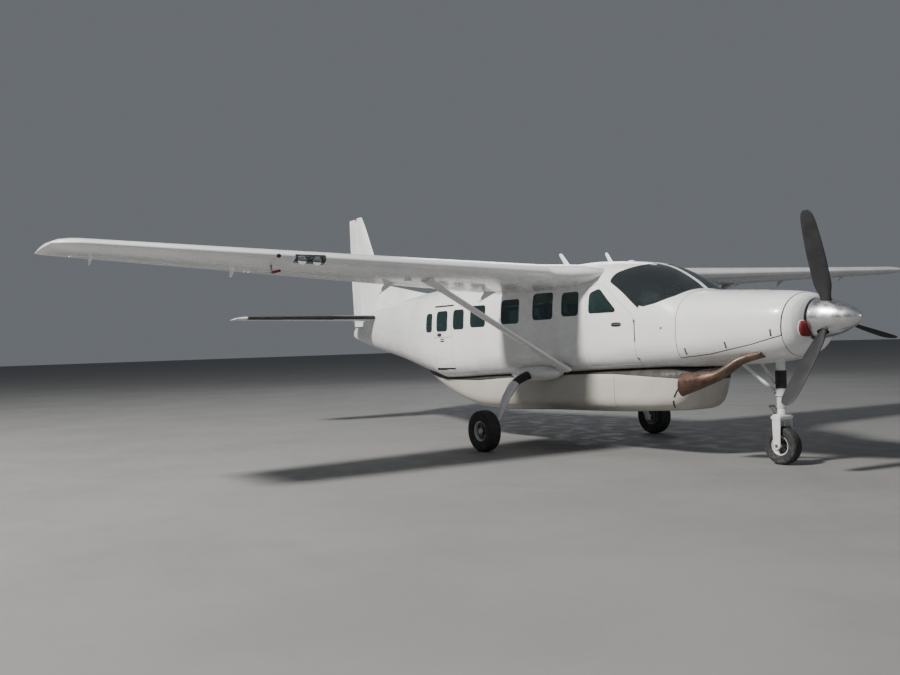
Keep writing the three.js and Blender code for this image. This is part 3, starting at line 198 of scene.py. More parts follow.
# Hinge lines: inner and outer Y with their stations; arms are Y, how far past the trailing edge, drop
AILERON = {"inner": 5350, "outer": 7560, "innerS": 5215, "outerS": 5060,
           "arms": [(5560, -100, 120), (7350, -100, 100)]}
FLAP = {"inner": 960, "outer": 5270, "innerS": 5400, "outerS": 5140,
        "arms": [(1230, 60, 150), (3130, 80, 140)]}
ELEVATOR = {"inner": 215, "outer": 2990, "innerS": 11800, "outerS": 11800, "arms": []}
ELEVATOR_CONE_Y = 130
RUDDER = {"baseZ": 2065, "topZ": 4480, "baseS": 12030, "topS": 12330}
RUDDER_ROOM = (RUDDER["baseS"] - 95, 2035)
END_GAP, NOSE_GAP = 20, 7

# Openings as station and Z
CREW_DOOR = [(2880, 1250), (3800, 1250), (3800, 2405), (3505, 2420), (2925, 1965), (2880, 1860)]
CREW_WINDOW = [(3165, 2000), (3752, 2000), (3742, 2300), (3552, 2362)]
WINDSCREEN = [
    (2285, 2240), (2330, 2178), (2540, 2088), (2830, 2030), (3150, 2283), (3415, 2440),
    (3385, 2565), (3170, 2664), (3020, 2720), (2990, 2900), (2200, 2900),
]
SCREEN_ROUND = [30, 30, 90, 24, 120, 45, 55, 60, 40, 1, 1]
POST_HALF = 28
SIDE_DOOR = {"back": 7935, "low": 1172, "split": 1745}
AIRSTAIR, CARGO = {"front": 7325, "high": 2305}, {"front": 6690, "high": 2320}
WINDOW_CORNER = 75
WINDOWS = {
    STARBOARD: [
        (3961, 4345, 1983, 2341), (4544, 5036, 1953, 2365), (5377, 5861, 1918, 2311),
        (6296, 6749, 1890, 2262), (6940, 7290, 1868, 2220), (7997, 8241, 1840, 2188),
    ],
    PORT: [
        (3961, 4345, 1983, 2341), (4544, 5036, 1953, 2365), (5377, 5861, 1918, 2311),
        (6100, 6550, 1895, 2272), (7997, 8241, 1840, 2188),
    ],
}
AIRSTAIR_WINDOW = (7470, 7845, 1845, 2216)
CARGO_WINDOWS = [(6862, 7240, 1862, 2232), (7420, 7800, 1845, 2216)]
COWL_SPLIT = [(747, 1612), (1147, 1514), (1765, 1400), (FIREWALL_S, 1352)]
SEAM = 13
BOWL_END = {"s": 740, "z": 1700, "lean": -0.08}
SPINE_HALF = 26
INLETS = {
    STARBOARD: [(-110, 1640), (-130, 1590), (-300, 1600), (-345, 1690), (-325, 1785), (-235, 1790),
                (-180, 1690)],
    PORT: [(110, 1640), (120, 1560), (310, 1585), (370, 1700), (350, 1840), (245, 1850), (232, 1770),
           (180, 1690)],
}
HINGES = {
    "crew": ((2876, 796, 1590), (2876, 796, 1890)),
    "airstair_upper": ((7500, 767, 2303), (7760, 759, 2303)),
    "airstair_lower": ((7500, 726, 1175), (7760, 726, 1175)),
    "cargo_upper": ((7100, 770, 2318), (7500, 758, 2318)),
    "cargo_lower": ((6692, 840, 1480), (6692, 840, 1720)),
    "pod_front": ((3850, 560, 642), (4190, 568, 642)),
    "pod_rear": ((5810, 597, 642), (6150, 601, 642)),
    "cowl": ((1250, 29, 2195), (1650, 29, 2222)),
}
HINGE_CAPS = ((2890, 1868), (2876, 1352))
CAP_HALVES = ((24, 5), (5, 24))
POD_DOORS = {"pod_front": (3560, 4480), "pod_rear": (5500, 6460)}
POD_DOOR_Z = (640, 1000)
POD_ROOM = (2600, 7300)

MAIN_WHEEL = {"s": 5085, "y": 1780, "radius": 310, "half": 108, "rim": 146, "hub": 62}
NOSE_WHEEL = {"s": 1140, "y": 0, "radius": 240, "half": 80, "rim": 118, "hub": 46}
AXLE = 28
PROP = {"s": 415, "z": 1815, "radius": 1322, "lean": 0.317, "blades": 3}
FLOOR = {"frontS": 2180, "frontZ": 1262, "backZ": 1150}
PANEL_BACK_S = 2790
CREW_SEAT = {"s": 3120, "y": 320}
SEAT_ROWS, SEAT_LINES = (4150, 5080, 6010), (-430, 300)
SEAT_SIZE = {"width": 430, "base": 270, "deep": 470}
SEAT_LEG_Y = 120
COWL_FRONT_S, BODY_END_S = FUSELAGE.ends
FIN_TOP, TAILPLANE_TIP = FIN.ends[1], STABILIZER.ends[1]

# How far outside the skin the glass and its trim begin and end, and where a band or plate begins under it
PANE, TRIM, SUNK = (-3, -8), (1.6, -1), 1.0
# Radii of a hinge's knuckle, of a long barrel and of the room cut for a hinge
KNUCKLE, BARREL, KNUCKLE_ROOM = 8, 7, 10
FOIL_SHARES = [(1 - math.cos(math.pi * i / 26)) / 2 for i in range(27)]


# Meshes

# Every object made here; those that aren't kept as pieces are removed at the end
MADE = []


def solid(shape):
    """A mesh object from points in millimetres and faces, with its faces turned outwards."""
    points, faces = shape
    mesh = bpy.data.meshes.new("part")
    mesh.from_pydata([Vector(p) * MM for p in points], [], faces)
    bm = bmesh.new()
    bm.from_mesh(mesh)
    bmesh.ops.remove_doubles(bm, verts=bm.verts, dist=1e-6)
    bmesh.ops.recalc_face_normals(bm, faces=bm.faces)
    bm.to_mesh(mesh)
    bm.free()
    obj = bpy.data.objects.new("part", mesh)
    bpy.context.scene.collection.objects.link(obj)
    MADE.append(obj)
    return obj


def loft(rings, caps=True, closed=False):
    """Points and faces of a skin over rings of equal count; closed joins the last to the first."""
    count = len(rings[0])
    faces = []
    last = len(rings) if closed else len(rings) - 1
    for r in range(last):
        a, b = r * count, ((r + 1) % len(rings)) * count
        for i in range(count):
            j = (i + 1) % count
            faces.append((a + i, a + j, b + j, b + i))
    if caps and not closed:
        faces.append(tuple(range(count)))
        faces.append(tuple(range((len(rings) - 1) * count, len(rings) * count)))
    return [p for ring in rings for p in ring], faces


def gather(shapes):
    """Several shapes as one."""
    points, faces = [], []
    for more, sides in shapes:
        base = len(points)
        points += list(more)
        faces += [tuple(base + i for i in side) for side in sides]
    return points, faces


def copy_of(obj):
    other = obj.copy()
    other.data = obj.data.copy()
    bpy.context.scene.collection.objects.link(other)
    MADE.append(other)
    return other


def boolean(obj, operation, others):
    for other in others:
        step = obj.modifiers.new("step", "BOOLEAN")
        step.operation, step.solver, step.object = operation, "MANIFOLD", other
    graph = bpy.context.evaluated_depsgraph_get()
    mesh = bpy.data.meshes.new_from_object(obj.evaluated_get(graph))
    obj.modifiers.clear()
    obj.data = mesh
    if not mesh.vertices:
        raise RuntimeError(f"{obj.name}: nothing is left after {operation}")
    return obj


def cut(obj, *others):
    return boolean(obj, "DIFFERENCE", others)


def meet(obj, *others):
    return boolean(obj, "INTERSECT", others)


def join(obj, *others):
    return boolean(obj, "UNION", others)


def body_point(table, s, angle, grow=0):
    """The skin's point at a station and an angle round its section, which is a superellipse."""
    half, low, high = table.half(s) + grow, table.low(s) - grow, table.high(s) + grow
    c, v = math.cos(angle), math.sin(angle)
    power = table.top(s) if v >= 0 else table.base(s)
    reach = (abs(c) ** power + abs(v) ** power) ** (-1 / power)
    wide = table.wide(s)
    tall = high - wide if v >= 0 else wide - low
    return at(s), half * reach * c, wide + tall * reach * v


def side_point(table, s, z, side, grow=0):
    """The skin's point at a station and height on one side."""
    wide = table.wide(s)
    power = table.top(s) if z >= wide else table.base(s)
    tall = (table.high(s) - wide if z >= wide else wide - table.low(s)) + grow
    share = min(abs(z - wide) / tall, 1)
    return at(s), side * (table.half(s) + grow) * (1 - share ** power) ** (1 / power), z


def body(table, start, end, grow=0, count=96, step=60):
    places = table.places(start, end, step)
    return loft([[body_point(table, s, a, grow) for a in turns(count)] for s in places])


def prism(outline, y0, y1):
    """A straight body over an outline of stations and Z, from one Y to another."""
    return loft([[(at(s), y, z) for s, z in outline] for y in (y0, y1)])


def box(s0, s1, y0, y1, z0, z1):
    return prism([(s0, z0), (s1, z0), (s1, z1), (s0, z1)], y0, y1)


def slab(outline, y0, y1):
    return solid(prism(outline, y0, y1))


def side_block(outline, side):
    """A solid through the skin of one side."""
    return slab(outline, side * SIDE_NEAR, side * SIDE_FAR)


def fuselage(start, end, grow=0, count=96, step=60):
    return solid(body(FUSELAGE, start, end, grow, count, step))


def pod_form(grow=0):
    return solid(body(POD, *POD_ENDS, grow, 96, 50))


def inset(outline, distance):
    """Moves each edge of an outline that runs anticlockwise inwards by a distance."""
    count = len(outline)
    edges = []
    area = sum(a[0] * b[1] - b[0] * a[1] for a, b in zip(outline, outline[1:] + outline[:1]))
    turn = 1 if area > 0 else -1
    for (ax, az), (bx, bz) in zip(outline, outline[1:] + outline[:1]):
        size = math.hypot(bx - ax, bz - az)
        dx, dz = (bx - ax) / size, (bz - az) / size
        edges.append((ax - dz * distance * turn, az + dx * distance * turn, dx, dz))
    moved = []
    for i in range(count):
        px, pz, pdx, pdz = edges[i - 1]
        qx, qz, qdx, qdz = edges[i]
        t = ((qx - px) * qdz - (qz - pz) * qdx) / (pdx * qdz - pdz * qdx)
        moved.append((px + pdx * t, pz + pdz * t))
    return moved


def rounded(outline, radius, steps=6):
    radii = radius if isinstance(radius, list) else [radius] * len(outline)
    points = []
    for i, corner in enumerate(outline):
        arms = []
        for other in (outline[i - 1], outline[(i + 1) % len(outline)]):
            size = math.dist(other, corner)
            arms.append([c + (o - c) / size * radii[i] for c, o in zip(corner, other)])
        for k in range(steps + 1):
            t = k / steps
            points.append(tuple(
                a * (1 - t) ** 2 + 2 * c * t * (1 - t) + b * t * t
                for a, c, b in zip(arms[0], corner, arms[1])
            ))
    return points


def rectangle(front, back, low, high):
    return [(front, low), (back, low), (back, high), (front, high)]


def window_outline(window, less=0.0):
    return rounded(inset(rectangle(*window), less), WINDOW_CORNER - less)


def tube(points, radius, sides=14, closed=False):
    """A round body along points; the radius may be one number or one for each point."""
    points = [Vector(p) for p in points]
    radii = radius if isinstance(radius, (list, tuple)) else [radius] * len(points)
    rings, across = [], None
    for i, point in enumerate(points):
        before = points[i - 1] if i or closed else point
        after = points[(i + 1) % len(points)] if i + 1 < len(points) or closed else point
        along = (after - before).normalized()
        across = along.orthogonal() if across is None else across - along * across.dot(along)
        across.normalize()
        up = along.cross(across)
        rings.append([point + (across * math.cos(a) + up * math.sin(a)) * radii[i] for a in turns(sides)])
    return loft(rings, closed=closed)


def rod(start, end, radius, sides=18):
    """A round bar between two places of station, Y and Z."""
    return tube([(at(s), y, z) for s, y, z in (start, end)], radius, sides)


def turned(profile, place, axis, steps=72):
    """A body of revolution: the profile is pairs of distance along the axis and radius."""
    rings = []
    x, y, z = place
    for a in turns(steps):
        c, v = math.cos(a), math.sin(a)
        if axis == "X":
            rings.append([(x - along, y + r * c, z + r * v) for along, r in profile])
        else:
            rings.append([(x + r * c, y + along, z + r * v) for along, r in profile])
    return loft(rings, closed=True)


def blob(place, size, bend=2.0, rows=10, steps=20):
    """A closed rounded form about a place, from a superellipse."""
    rings = []
    for r in range(rows + 1):
        v = math.pi * (r / rows - 0.5)
        c, up = math.cos(v) ** (2 / bend), math.copysign(abs(math.sin(v)) ** (2 / bend), v)
        rings.append([(
            place[0] + size[0] * c * math.cos(a),
            place[1] + size[1] * c * math.sin(a),
            place[2] + size[2] * up,
        ) for a in turns(steps)])
    return loft(rings)


def strip(run, width, height):
    """A flat band that lies on a skin along a run of places with their normals."""
    rings = []
    for i, (p, n) in enumerate(run):
        before, after = run[max(i - 1, 0)][0], run[min(i + 1, len(run) - 1)][0]
        side = (after - before).cross(n).normalized() * width / 2
        rings.append([p - side - n * SUNK, p + side - n * SUNK, p + side + n * height, p - side + n * height])
    return loft(rings)


def rivets(places, radius=3.2, height=1.1):
    """A small six-sided dome at each place with its normal."""
    points, faces = [], []
    for p, n in places:
        base = len(points)
        across = n.orthogonal().normalized()
        up = n.cross(across)
        for a in turns(6):
            points.append(p + (across * math.cos(a) + up * math.sin(a)) * radius - n * 0.4)
        points.append(p + n * height)
        faces.append(tuple(base + k for k in range(5, -1, -1)))
        faces += [(base + k, base + (k + 1) % 6, base + 6) for k in range(6)]
    return points, faces


class Smooth:
    """The uncut surface whose normals and material a cut piece keeps where it still lies on it."""

    # How far a vertex may lie from the uncut surface and still be on it, in metres
    REACH = 0.0012

    def __init__(self, obj, look):
        self.look = look
        mesh = obj.data
        self.points = [v.co.copy() for v in mesh.vertices]
        self.faces = [tuple(p.vertices) for p in mesh.polygons if len(p.vertices) <= 4]
        normals = np.zeros((len(self.points), 3))
        for p in mesh.polygons:
            if len(p.vertices) <= 4:
                normals[list(p.vertices)] += np.array(p.normal) * p.area
        size = np.linalg.norm(normals, axis=1, keepdims=True)
        self.normals = normals / np.maximum(size, 1e-12)
        self.tree = BVHTree.FromPolygons(self.points, self.faces)

    def sample(self, points):
        near = np.zeros(len(points), bool)
        normals = np.zeros((len(points), 3))
        for i, p in enumerate(points):
            place, _, face, _ = self.tree.find_nearest(p, self.REACH)
            if place is None:
                continue
            corners = self.faces[face]
            weights = poly_3d_calc([self.points[c] for c in corners], place)
            normals[i] = np.array(weights) @ self.normals[list(corners)]
            near[i] = True
        size = np.linalg.norm(normals, axis=1, keepdims=True)
        return near, normals / np.maximum(size, 1e-12)


def dress(obj, *layers):
    """Gives a cut piece its layers' smooth normals and material slots; other faces stay flat in slot 0."""
    mesh = obj.data
    points = np.empty(len(mesh.vertices) * 3)
    mesh.vertices.foreach_get("co", points)
    points = points.reshape(-1, 3)
    corner = np.empty(len(mesh.loops), int)
    mesh.loops.foreach_get("vertex_index", corner)
    start, total = np.empty(len(mesh.polygons), int), np.empty(len(mesh.polygons), int)
    mesh.polygons.foreach_get("loop_start", start)
    mesh.polygons.foreach_get("loop_total", total)
    facing = np.empty(len(mesh.polygons) * 3)
    mesh.polygons.foreach_get("normal", facing)
    facing = facing.reshape(-1, 3)
    result = np.repeat(facing, total, axis=0)
    index = np.zeros(len(mesh.polygons), int)
    for layer in layers:
        near, normals = layer.sample(points)
        on_layer = np.logical_and.reduceat(near[corner], start)
        mean = np.add.reduceat(normals[corner], start)
        on_layer &= (mean * facing).sum(axis=1) > 0.7 * total
        rows = np.repeat(on_layer, total)
        result[rows] = normals[corner][rows]
        index[on_layer] = layer.look
    mesh.polygons.foreach_set("use_smooth", np.ones(len(mesh.polygons), bool))
    mesh.polygons.foreach_set("material_index", index)
    mesh.normals_split_custom_set([tuple(n) for n in result])
    return obj


KEPT = set()


def piece(obj, name, ride, looks, replaces="", sharp=None):
    """Names a piece, gives it its materials and body, and hides the frame node it stands for."""
    obj.name = name
    mesh = obj.data
    old = np.empty(len(mesh.polygons), int)
    mesh.polygons.foreach_get("material_index", old)
    mesh.materials.clear()
    for look in looks.split():
        mesh.materials.append(L[look])
    mesh.polygons.foreach_set("material_index", np.minimum(old, len(mesh.materials) - 1))
    if sharp is not None:
        mesh.polygons.foreach_set("use_smooth", np.ones(len(mesh.polygons), bool))
        mesh.set_sharp_from_angle(angle=math.radians(sharp))
    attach(obj, ride)
    if replaces:
        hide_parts(replaces)
    KEPT.add(obj)


def fitting(shapes, name, ride, look, sharp=40):
    """A small piece of one material, from one shape or a list of them."""
    piece(solid(gather(shapes) if isinstance(shapes, list) else shapes), name, ride, look, sharp=sharp)


# Materials

class Look:
    """A material built from noise in the object's own coordinates."""

    def __init__(self, name):
        self.material = bpy.data.materials.new(name)
        self.material.use_nodes = True
        self.tree = self.material.node_tree
        self.shader = self.tree.nodes["Principled BSDF"]
        self.place = self.tree.nodes.new("ShaderNodeTexCoord").outputs["Object"]

    def node(self, kind, **values):
        made = self.tree.nodes.new(kind)
        for key, value in values.items():
            setattr(made, key, value)
        return made

    def wire(self, source, target):
        self.tree.links.new(source, target)

    def feed(self, name, source):
        self.wire(source, self.shader.inputs[name])

    def noise(self, scale, detail=5.0, stretch=(1, 1, 1), rough=0.55):
        mapping = self.node("ShaderNodeMapping")
        mapping.inputs["Scale"].default_value = stretch
        self.wire(self.place, mapping.inputs["Vector"])
        made = self.node("ShaderNodeTexNoise")
        made.inputs["Scale"].default_value = scale
        made.inputs["Detail"].default_value = detail
        made.inputs["Roughness"].default_value = rough
        self.wire(mapping.outputs["Vector"], made.inputs["Vector"])
        return made.outputs["Fac"]

    def ranged(self, value, a, b, low=0.35, high=0.65):
        made = self.node("ShaderNodeMapRange", interpolation_type="SMOOTHSTEP")
        for key, number in (("From Min", low), ("From Max", high), ("To Min", a), ("To Max", b)):
            made.inputs[key].default_value = number
        self.wire(value, made.inputs["Value"])
        return made.outputs["Result"]

    def axis(self, letter):
        made = self.node("ShaderNodeSeparateXYZ")
        self.wire(self.place, made.inputs["Vector"])
        return made.outputs[letter]

    def times(self, a, b, operation="MULTIPLY"):
        made = self.node("ShaderNodeMath", operation=operation)
        for socket, value in zip(made.inputs, (a, b)):
            if isinstance(value, (int, float)):
                socket.default_value = value
            else:
                self.wire(value, socket)
        return made.outputs[0]

    def mix(self, share, a, b):
        made = self.node("ShaderNodeMix", data_type="RGBA")
        self.wire(share, made.inputs[0])
        for socket, colour in ((made.inputs[6], a), (made.inputs[7], b)):
            if isinstance(colour, (tuple, list)):
                socket.default_value = (*colour, 1)
            else:
                self.wire(colour, socket)
        return made.outputs[2]

    def bump(self, height, distance, strength=1.0):
        made = self.node("ShaderNodeBump")
        made.inputs["Distance"].default_value = distance
        made.inputs["Strength"].default_value = strength
        self.wire(height, made.inputs["Height"])
        self.wire(made.outputs["Normal"], self.shader.inputs["Normal"])

    def set(self, **values):
        for key, value in values.items():
            self.shader.inputs[key.replace("_", " ")].default_value = value
        return self


def plain(name, colour, other, rough, scale=4.0, metal=0.0, grain=250.0, bump=0.00004, stretch=(1, 1, 1)):
    """Two colours mottled together, roughness that varies, and a fine grain."""
    look = Look(name).set(Metallic=metal)
    look.feed("Base Color", look.mix(look.ranged(look.noise(scale, stretch=stretch), 0, 1), colour, other))
    look.feed("Roughness", look.ranged(look.noise(scale * 6), rough * 0.8, rough * 1.25))
    look.bump(look.noise(grain, 3, stretch), bump)
    return look


def paint(name, colour, other, rough=0.28, grime_and_shade=(1.15, 1.75), grime_colour=(0.36, 0.32, 0.26), share=0.35):
    """Gloss paint with faint mottling, streaked grime towards its lower edge and a little orange peel."""
    look = Look(name).set(Coat_Weight=0.35, Coat_Roughness=0.12)
    base = look.mix(look.ranged(look.noise(1.3), 0, 1), colour, other)
    low = look.ranged(look.axis("Z"), 1, 0, grime_and_shade[0], grime_and_shade[1])
    streak = look.ranged(look.noise(2.2, 8, (0.35, 1, 2.4), 0.68), 0, 1, 0.42, 0.72)
    dirt = look.times(look.times(low, streak), share)
    look.feed("Base Color", look.mix(dirt, base, grime_colour))
    fine = look.ranged(look.noise(9, 6), rough * 0.75, rough * 1.35)
    look.feed("Roughness", look.times(fine, look.times(dirt, 0.5), "ADD"))
    look.bump(look.noise(38, 2), 0.00006, 0.6)
    return look


WHITE, WARM_WHITE = (0.87, 0.875, 0.885), (0.82, 0.825, 0.83)
LOOKS = {
    "paint": paint("airframe_white", WHITE, WARM_WHITE, share=0.5),
    "wing": paint("wing_white", WHITE, (0.76, 0.77, 0.785), grime_and_shade=(2.3, 2.75), share=0.12),
    "tail": paint("tail_white", WHITE, (0.77, 0.775, 0.79), grime_and_shade=(1.5, 2.3), share=0.2),
    "pod": paint("pod_white", (0.52, 0.495, 0.45), (0.46, 0.435, 0.395), 0.38, (0.5, 1.15), share=0.6),
    "gear": paint("gear_white", (0.72, 0.73, 0.74), (0.62, 0.63, 0.64), 0.36, (0.0, 1.1), share=0.5),
    "edge": plain("seam_shade", (0.10, 0.10, 0.11), (0.16, 0.16, 0.17), 0.6),
    # Painted shade: a near-black look for the sheet on the pod's top that stands in for the belly's shadow
    "grime_and_shade": plain("painted_belly_shade", (0.060, 0.056, 0.050), (0.036, 0.033, 0.029), 0.6, 6),
    "primer": plain("primer", (0.30, 0.32, 0.26), (0.38, 0.39, 0.34), 0.6, 7),
    "liner": plain("cabin_liner", (0.42, 0.42, 0.41), (0.50, 0.49, 0.47), 0.75, 5, grain=600, bump=0.0002),
    "rubber": plain("rubber_seal", (0.018, 0.018, 0.019), (0.035, 0.035, 0.036), 0.7, 20, bump=0.0002),
    "boot": plain("de_ice_boot", (0.012, 0.012, 0.014), (0.028, 0.028, 0.031), 0.42, 6, bump=0.0001),
    "steel": plain("bare_steel", (0.45, 0.45, 0.46), (0.30, 0.30, 0.31), 0.34, 18, 1.0),
    "dark_steel": plain("brake_steel", (0.14, 0.135, 0.13), (0.24, 0.21, 0.19), 0.5, 25, 0.9),
    "alloy": plain("polished_alloy", (0.80, 0.81, 0.82), (0.70, 0.71, 0.73), 0.30, 2, 1.0, 90, 0.00002,
                   (0.2, 1, 1)),
    "red": plain("red_vinyl", (0.23, 0.014, 0.014), (0.16, 0.010, 0.011), 0.6, 9, bump=0.0004, grain=120),
    "plastic": plain("panel_plastic", (0.035, 0.037, 0.04), (0.055, 0.057, 0.06), 0.6, 30, bump=0.0002),
    "dial": plain("dial_face", (0.008, 0.008, 0.009), (0.02, 0.02, 0.022), 0.25, 30),
    "mark": plain("dial_mark", (0.75, 0.75, 0.72), (0.6, 0.6, 0.58), 0.5, 50),
    "engine": plain("engine_case", (0.34, 0.34, 0.33), (0.22, 0.21, 0.2), 0.45, 8, 0.9),
}


def glass_look(name, tint, rough, weight=0.94):
    look = Look(name).set(Transmission_Weight=weight, IOR=1.45, Coat_Weight=0.2, Coat_Roughness=0.03)
    look.feed("Base Color", look.mix(look.ranged(look.noise(1.7), 0, 1), tint, tuple(c * 0.86 for c in tint)))
    look.feed("Roughness", look.ranged(look.noise(14), rough, rough * 2.2))
    look.bump(look.noise(2.4, 2), 0.0004, 0.35)
    return look


LOOKS["window"] = glass_look("cabin_glazing", (0.20, 0.36, 0.37), 0.02)
LOOKS["screen"] = glass_look("windscreen_glazing", (0.30, 0.36, 0.38), 0.015)
LOOKS["lens"] = glass_look("lamp_lens", (0.62, 0.66, 0.68), 0.03)
LOOKS["red_lens"] = glass_look("red_lens", (0.75, 0.04, 0.03), 0.05, 0.7)
LOOKS["green_lens"] = glass_look("green_lens", (0.03, 0.55, 0.12), 0.05, 0.7)


def tyre_look():
    look = Look("tyre_rubber").set(Specular_IOR_Level=0.35)
    low = look.ranged(look.axis("Z"), 0.75, 0.2, 0.0, 0.35)
    dust = look.times(look.ranged(look.noise(30, 6), 0, 1, 0.45, 0.7), low)
    look.feed("Base Color", look.mix(dust, (0.032, 0.033, 0.035), (0.12, 0.112, 0.10)))
    look.feed("Roughness", look.ranged(look.noise(40), 0.62, 0.88))
    look.bump(look.noise(420, 3), 0.00025)
    return look


def blade_look():
    """Charcoal paint worn to bare metal along the blade's leading edge and tip."""
    look = Look("blade_charcoal")
    forward = look.ranged(look.axis("X"), 0, 1, 6.0, 6.04)
    worn = look.times(forward, look.ranged(look.noise(70, 8, (1, 1, 1), 0.7), 0, 0.8, 0.6, 0.72))
    base = look.mix(look.ranged(look.noise(5), 0, 1), (0.014, 0.0145, 0.016), (0.024, 0.025, 0.028))
    look.feed("Base Color", look.mix(worn, base, (0.22, 0.22, 0.23)))
    look.feed("Roughness", look.ranged(worn, 0.62, 0.35, 0, 1))
    look.feed("Metallic", look.times(worn, 0.8))
    look.bump(look.noise(180, 4), 0.00006)
    return look


def exhaust_look():
    """Steel browned by heat, straw towards the cowl and blue-brown at the open end, with soot inside."""
    look = Look("heated_steel")
    along = look.times(look.axis("X"), look.times(look.noise(5, 7), 0.5), "ADD")
    warm = look.mix(look.ranged(along, 1, 0, 4.5, 5.6), (0.27, 0.20, 0.155), (0.19, 0.115, 0.088))
    stain = look.ranged(look.noise(11, 9, (0.5, 1, 1), 0.7), 0, 1, 0.4, 0.66)
    look.feed("Base Color", look.mix(stain, warm, (0.12, 0.08, 0.066)))
    look.feed("Roughness", look.ranged(look.noise(16, 6), 0.32, 0.62))
    look.feed("Metallic", look.ranged(look.noise(8, 4), 0.75, 0.95))
    look.bump(look.noise(70, 6), 0.0003)
    return look


def cloth_look(name, colour, other, pitch=900.0):
    """Woven cloth: two crossed waves for the threads over soft colour variation."""
    look = Look(name).set(Sheen_Weight=0.35, Sheen_Roughness=0.5)
    weave = []
    for direction in ("X", "Z"):
        wave = look.node("ShaderNodeTexWave", bands_direction=direction)
        wave.inputs["Scale"].default_value = pitch / 6
        wave.inputs["Distortion"].default_value = 1.2
        look.wire(look.place, wave.inputs["Vector"])
        weave.append(wave.outputs["Fac"])
    thread = look.times(weave[0], weave[1])
    shade = look.times(look.ranged(look.noise(7), 0, 0.8), look.times(thread, 0.35), "ADD")
    look.feed("Base Color", look.mix(shade, colour, other))
    look.feed("Roughness", look.ranged(look.noise(25), 0.82, 0.97))
    look.bump(thread, 0.0004)
    return look


LOOKS["tyre"] = tyre_look()
LOOKS["blade"] = blade_look()
LOOKS["exhaust"] = exhaust_look()
LOOKS["soot"] = plain("pipe_soot", (0.012, 0.011, 0.010), (0.03, 0.027, 0.024), 0.9, 20)
LOOKS["cloth"] = cloth_look("seat_cloth", (0.10, 0.115, 0.14), (0.17, 0.185, 0.21))
LOOKS["carpet"] = cloth_look("floor_carpet", (0.07, 0.072, 0.078), (0.13, 0.13, 0.135), 500)
L = {name: look.material for name, look in LOOKS.items()}


# The body's walls, kept uncut so that every panel is a share of one smooth skin

def layer(outer, inner, start, end):
    """The wall between two offsets of the skin."""
    return cut(fuselage(start, end, outer), fuselage(start - 1, end + 1, inner))


cabin_outer = fuselage(FIREWALL_S, CABIN_END_S)
cabin_inner = fuselage(FIREWALL_S + BULKHEAD, CABIN_END_S + 20, -CABIN_WALL)
cowl_outer = fuselage(COWL_FRONT_S, FIREWALL_S - SEAT, 0, 96, 50)
cowl_inner = fuselage(660, FIREWALL_S + 5, -COWL_WALL, 96, 60)
tail_outer = fuselage(CABIN_END_S + SEAT, BODY_END_S, 0, 80, 80)
tail_inner = fuselage(CABIN_END_S - 10, 11400, -CABIN_WALL + 12, 80, 90)
pod_outer = pod_form()
hull = fuselage(600, BODY_END_S, SEAT, 96, 70)
skins = {
    "cabin": (Smooth(cabin_outer, 1), Smooth(cabin_inner, 2)),
    "cowl": (Smooth(cowl_outer, 1), Smooth(cowl_inner, 2)),
    "tail": (Smooth(tail_outer, 1),),
    "pod": (Smooth(pod_outer, 1), Smooth(solid(body(POD, *POD_ROOM, -POD_WALL, 96, 70)), 2)),
}
cabin_wall = cut(copy_of(cabin_outer), cabin_inner)

def side_opening(door, low, high):
    """The outline of a side door, or of one of its two parts, between two of its heights."""
    heights = {**SIDE_DOOR, **door}
    return rectangle(door["front"], SIDE_DOOR["back"], heights[low], heights[high])


# For each door its outline, side, hinge, frame node and body
DOORS = {
    "crew_left": (CREW_DOOR, PORT, "crew", "crew_door_left", "crew_door_body_left"),
    "crew_right": (CREW_DOOR, STARBOARD, "crew", "crew_door_right", "crew_door_body_right"),
    "airstair_upper": (side_opening(AIRSTAIR, "split", "high"), STARBOARD,
                       "airstair_upper", "airstair_upper", "airstair_upper_body"),
    "airstair_lower": (side_opening(AIRSTAIR, "low", "split"), STARBOARD,
                       "airstair_lower", "airstair_lower", "airstair_lower_body"),
    "cargo_upper": (side_opening(CARGO, "split", "high"), PORT,
                    "cargo_upper", "cargo_door_upper", "cargo_upper_body"),
    "cargo_lower": (side_opening(CARGO, "low", "split"), PORT,
                    "cargo_lower", "cargo_door_lower", "cargo_lower_body"),
}
DOOR_WINDOWS = {
    "crew_left": ("crew_glass_left", [None]),
    "crew_right": ("crew_glass_right", [None]),
    "airstair_upper": ("airstair_glass", [AIRSTAIR_WINDOW]),
    "cargo_upper": ("cargo_glass", CARGO_WINDOWS),
}
DOOR_ROUND = {"crew_left": 45, "crew_right": 45}
SIDE_HOLES = [(side_opening(AIRSTAIR, "low", "high"), STARBOARD), (side_opening(CARGO, "low", "high"), PORT)]


def door_hole(name):
    outline, side = DOORS[name][:2]
    return rounded(outline, DOOR_ROUND.get(name, 12), 5)


def door_panel_outline(name):
    return rounded(inset(DOORS[name][0], CLEAR / 2), DOOR_ROUND.get(name, 12) - 3, 5)


def pane_outline(window, less=0.0):
    if window is None:
        return rounded(inset(CREW_WINDOW, less), [110, 60, 45, 60], 6)
    return window_outline(window, less)


# Radius of the room round each hinge line: in the door's own panel, and in the shell
HINGE_ROOM = {"airstair_upper": (24, 15), "airstair_lower": (40, 24), "cargo_upper": (34, 17),
              "cargo_lower": (14, 14), "pod_front": (24, 14), "pod_rear": (24, 14)}
UPRIGHT_ROOM = {"cargo_lower": (1425, 1772)}
ROOM_PAST_END = 45

# Stations between which a hinge runs along a whole edge
PIANO = {"airstair_upper": (7345, 7915), "airstair_lower": (7345, 7915), "cargo_upper": (6710, 7915),
         "pod_front": (3580, 4460), "pod_rear": (5520, 6440)}


def hinge_ends(name, side):
    return [Vector((at(s), side * y, z)) for s, y, z in HINGES[name]]


def hinge_point(name, side, s):
    (s0, y0, z0), (s1, y1, z1) = HINGES[name]
    t = (s - s0) / (s1 - s0)
    return Vector((at(s), side * lerp(y0, y1, t), lerp(z0, z1, t)))


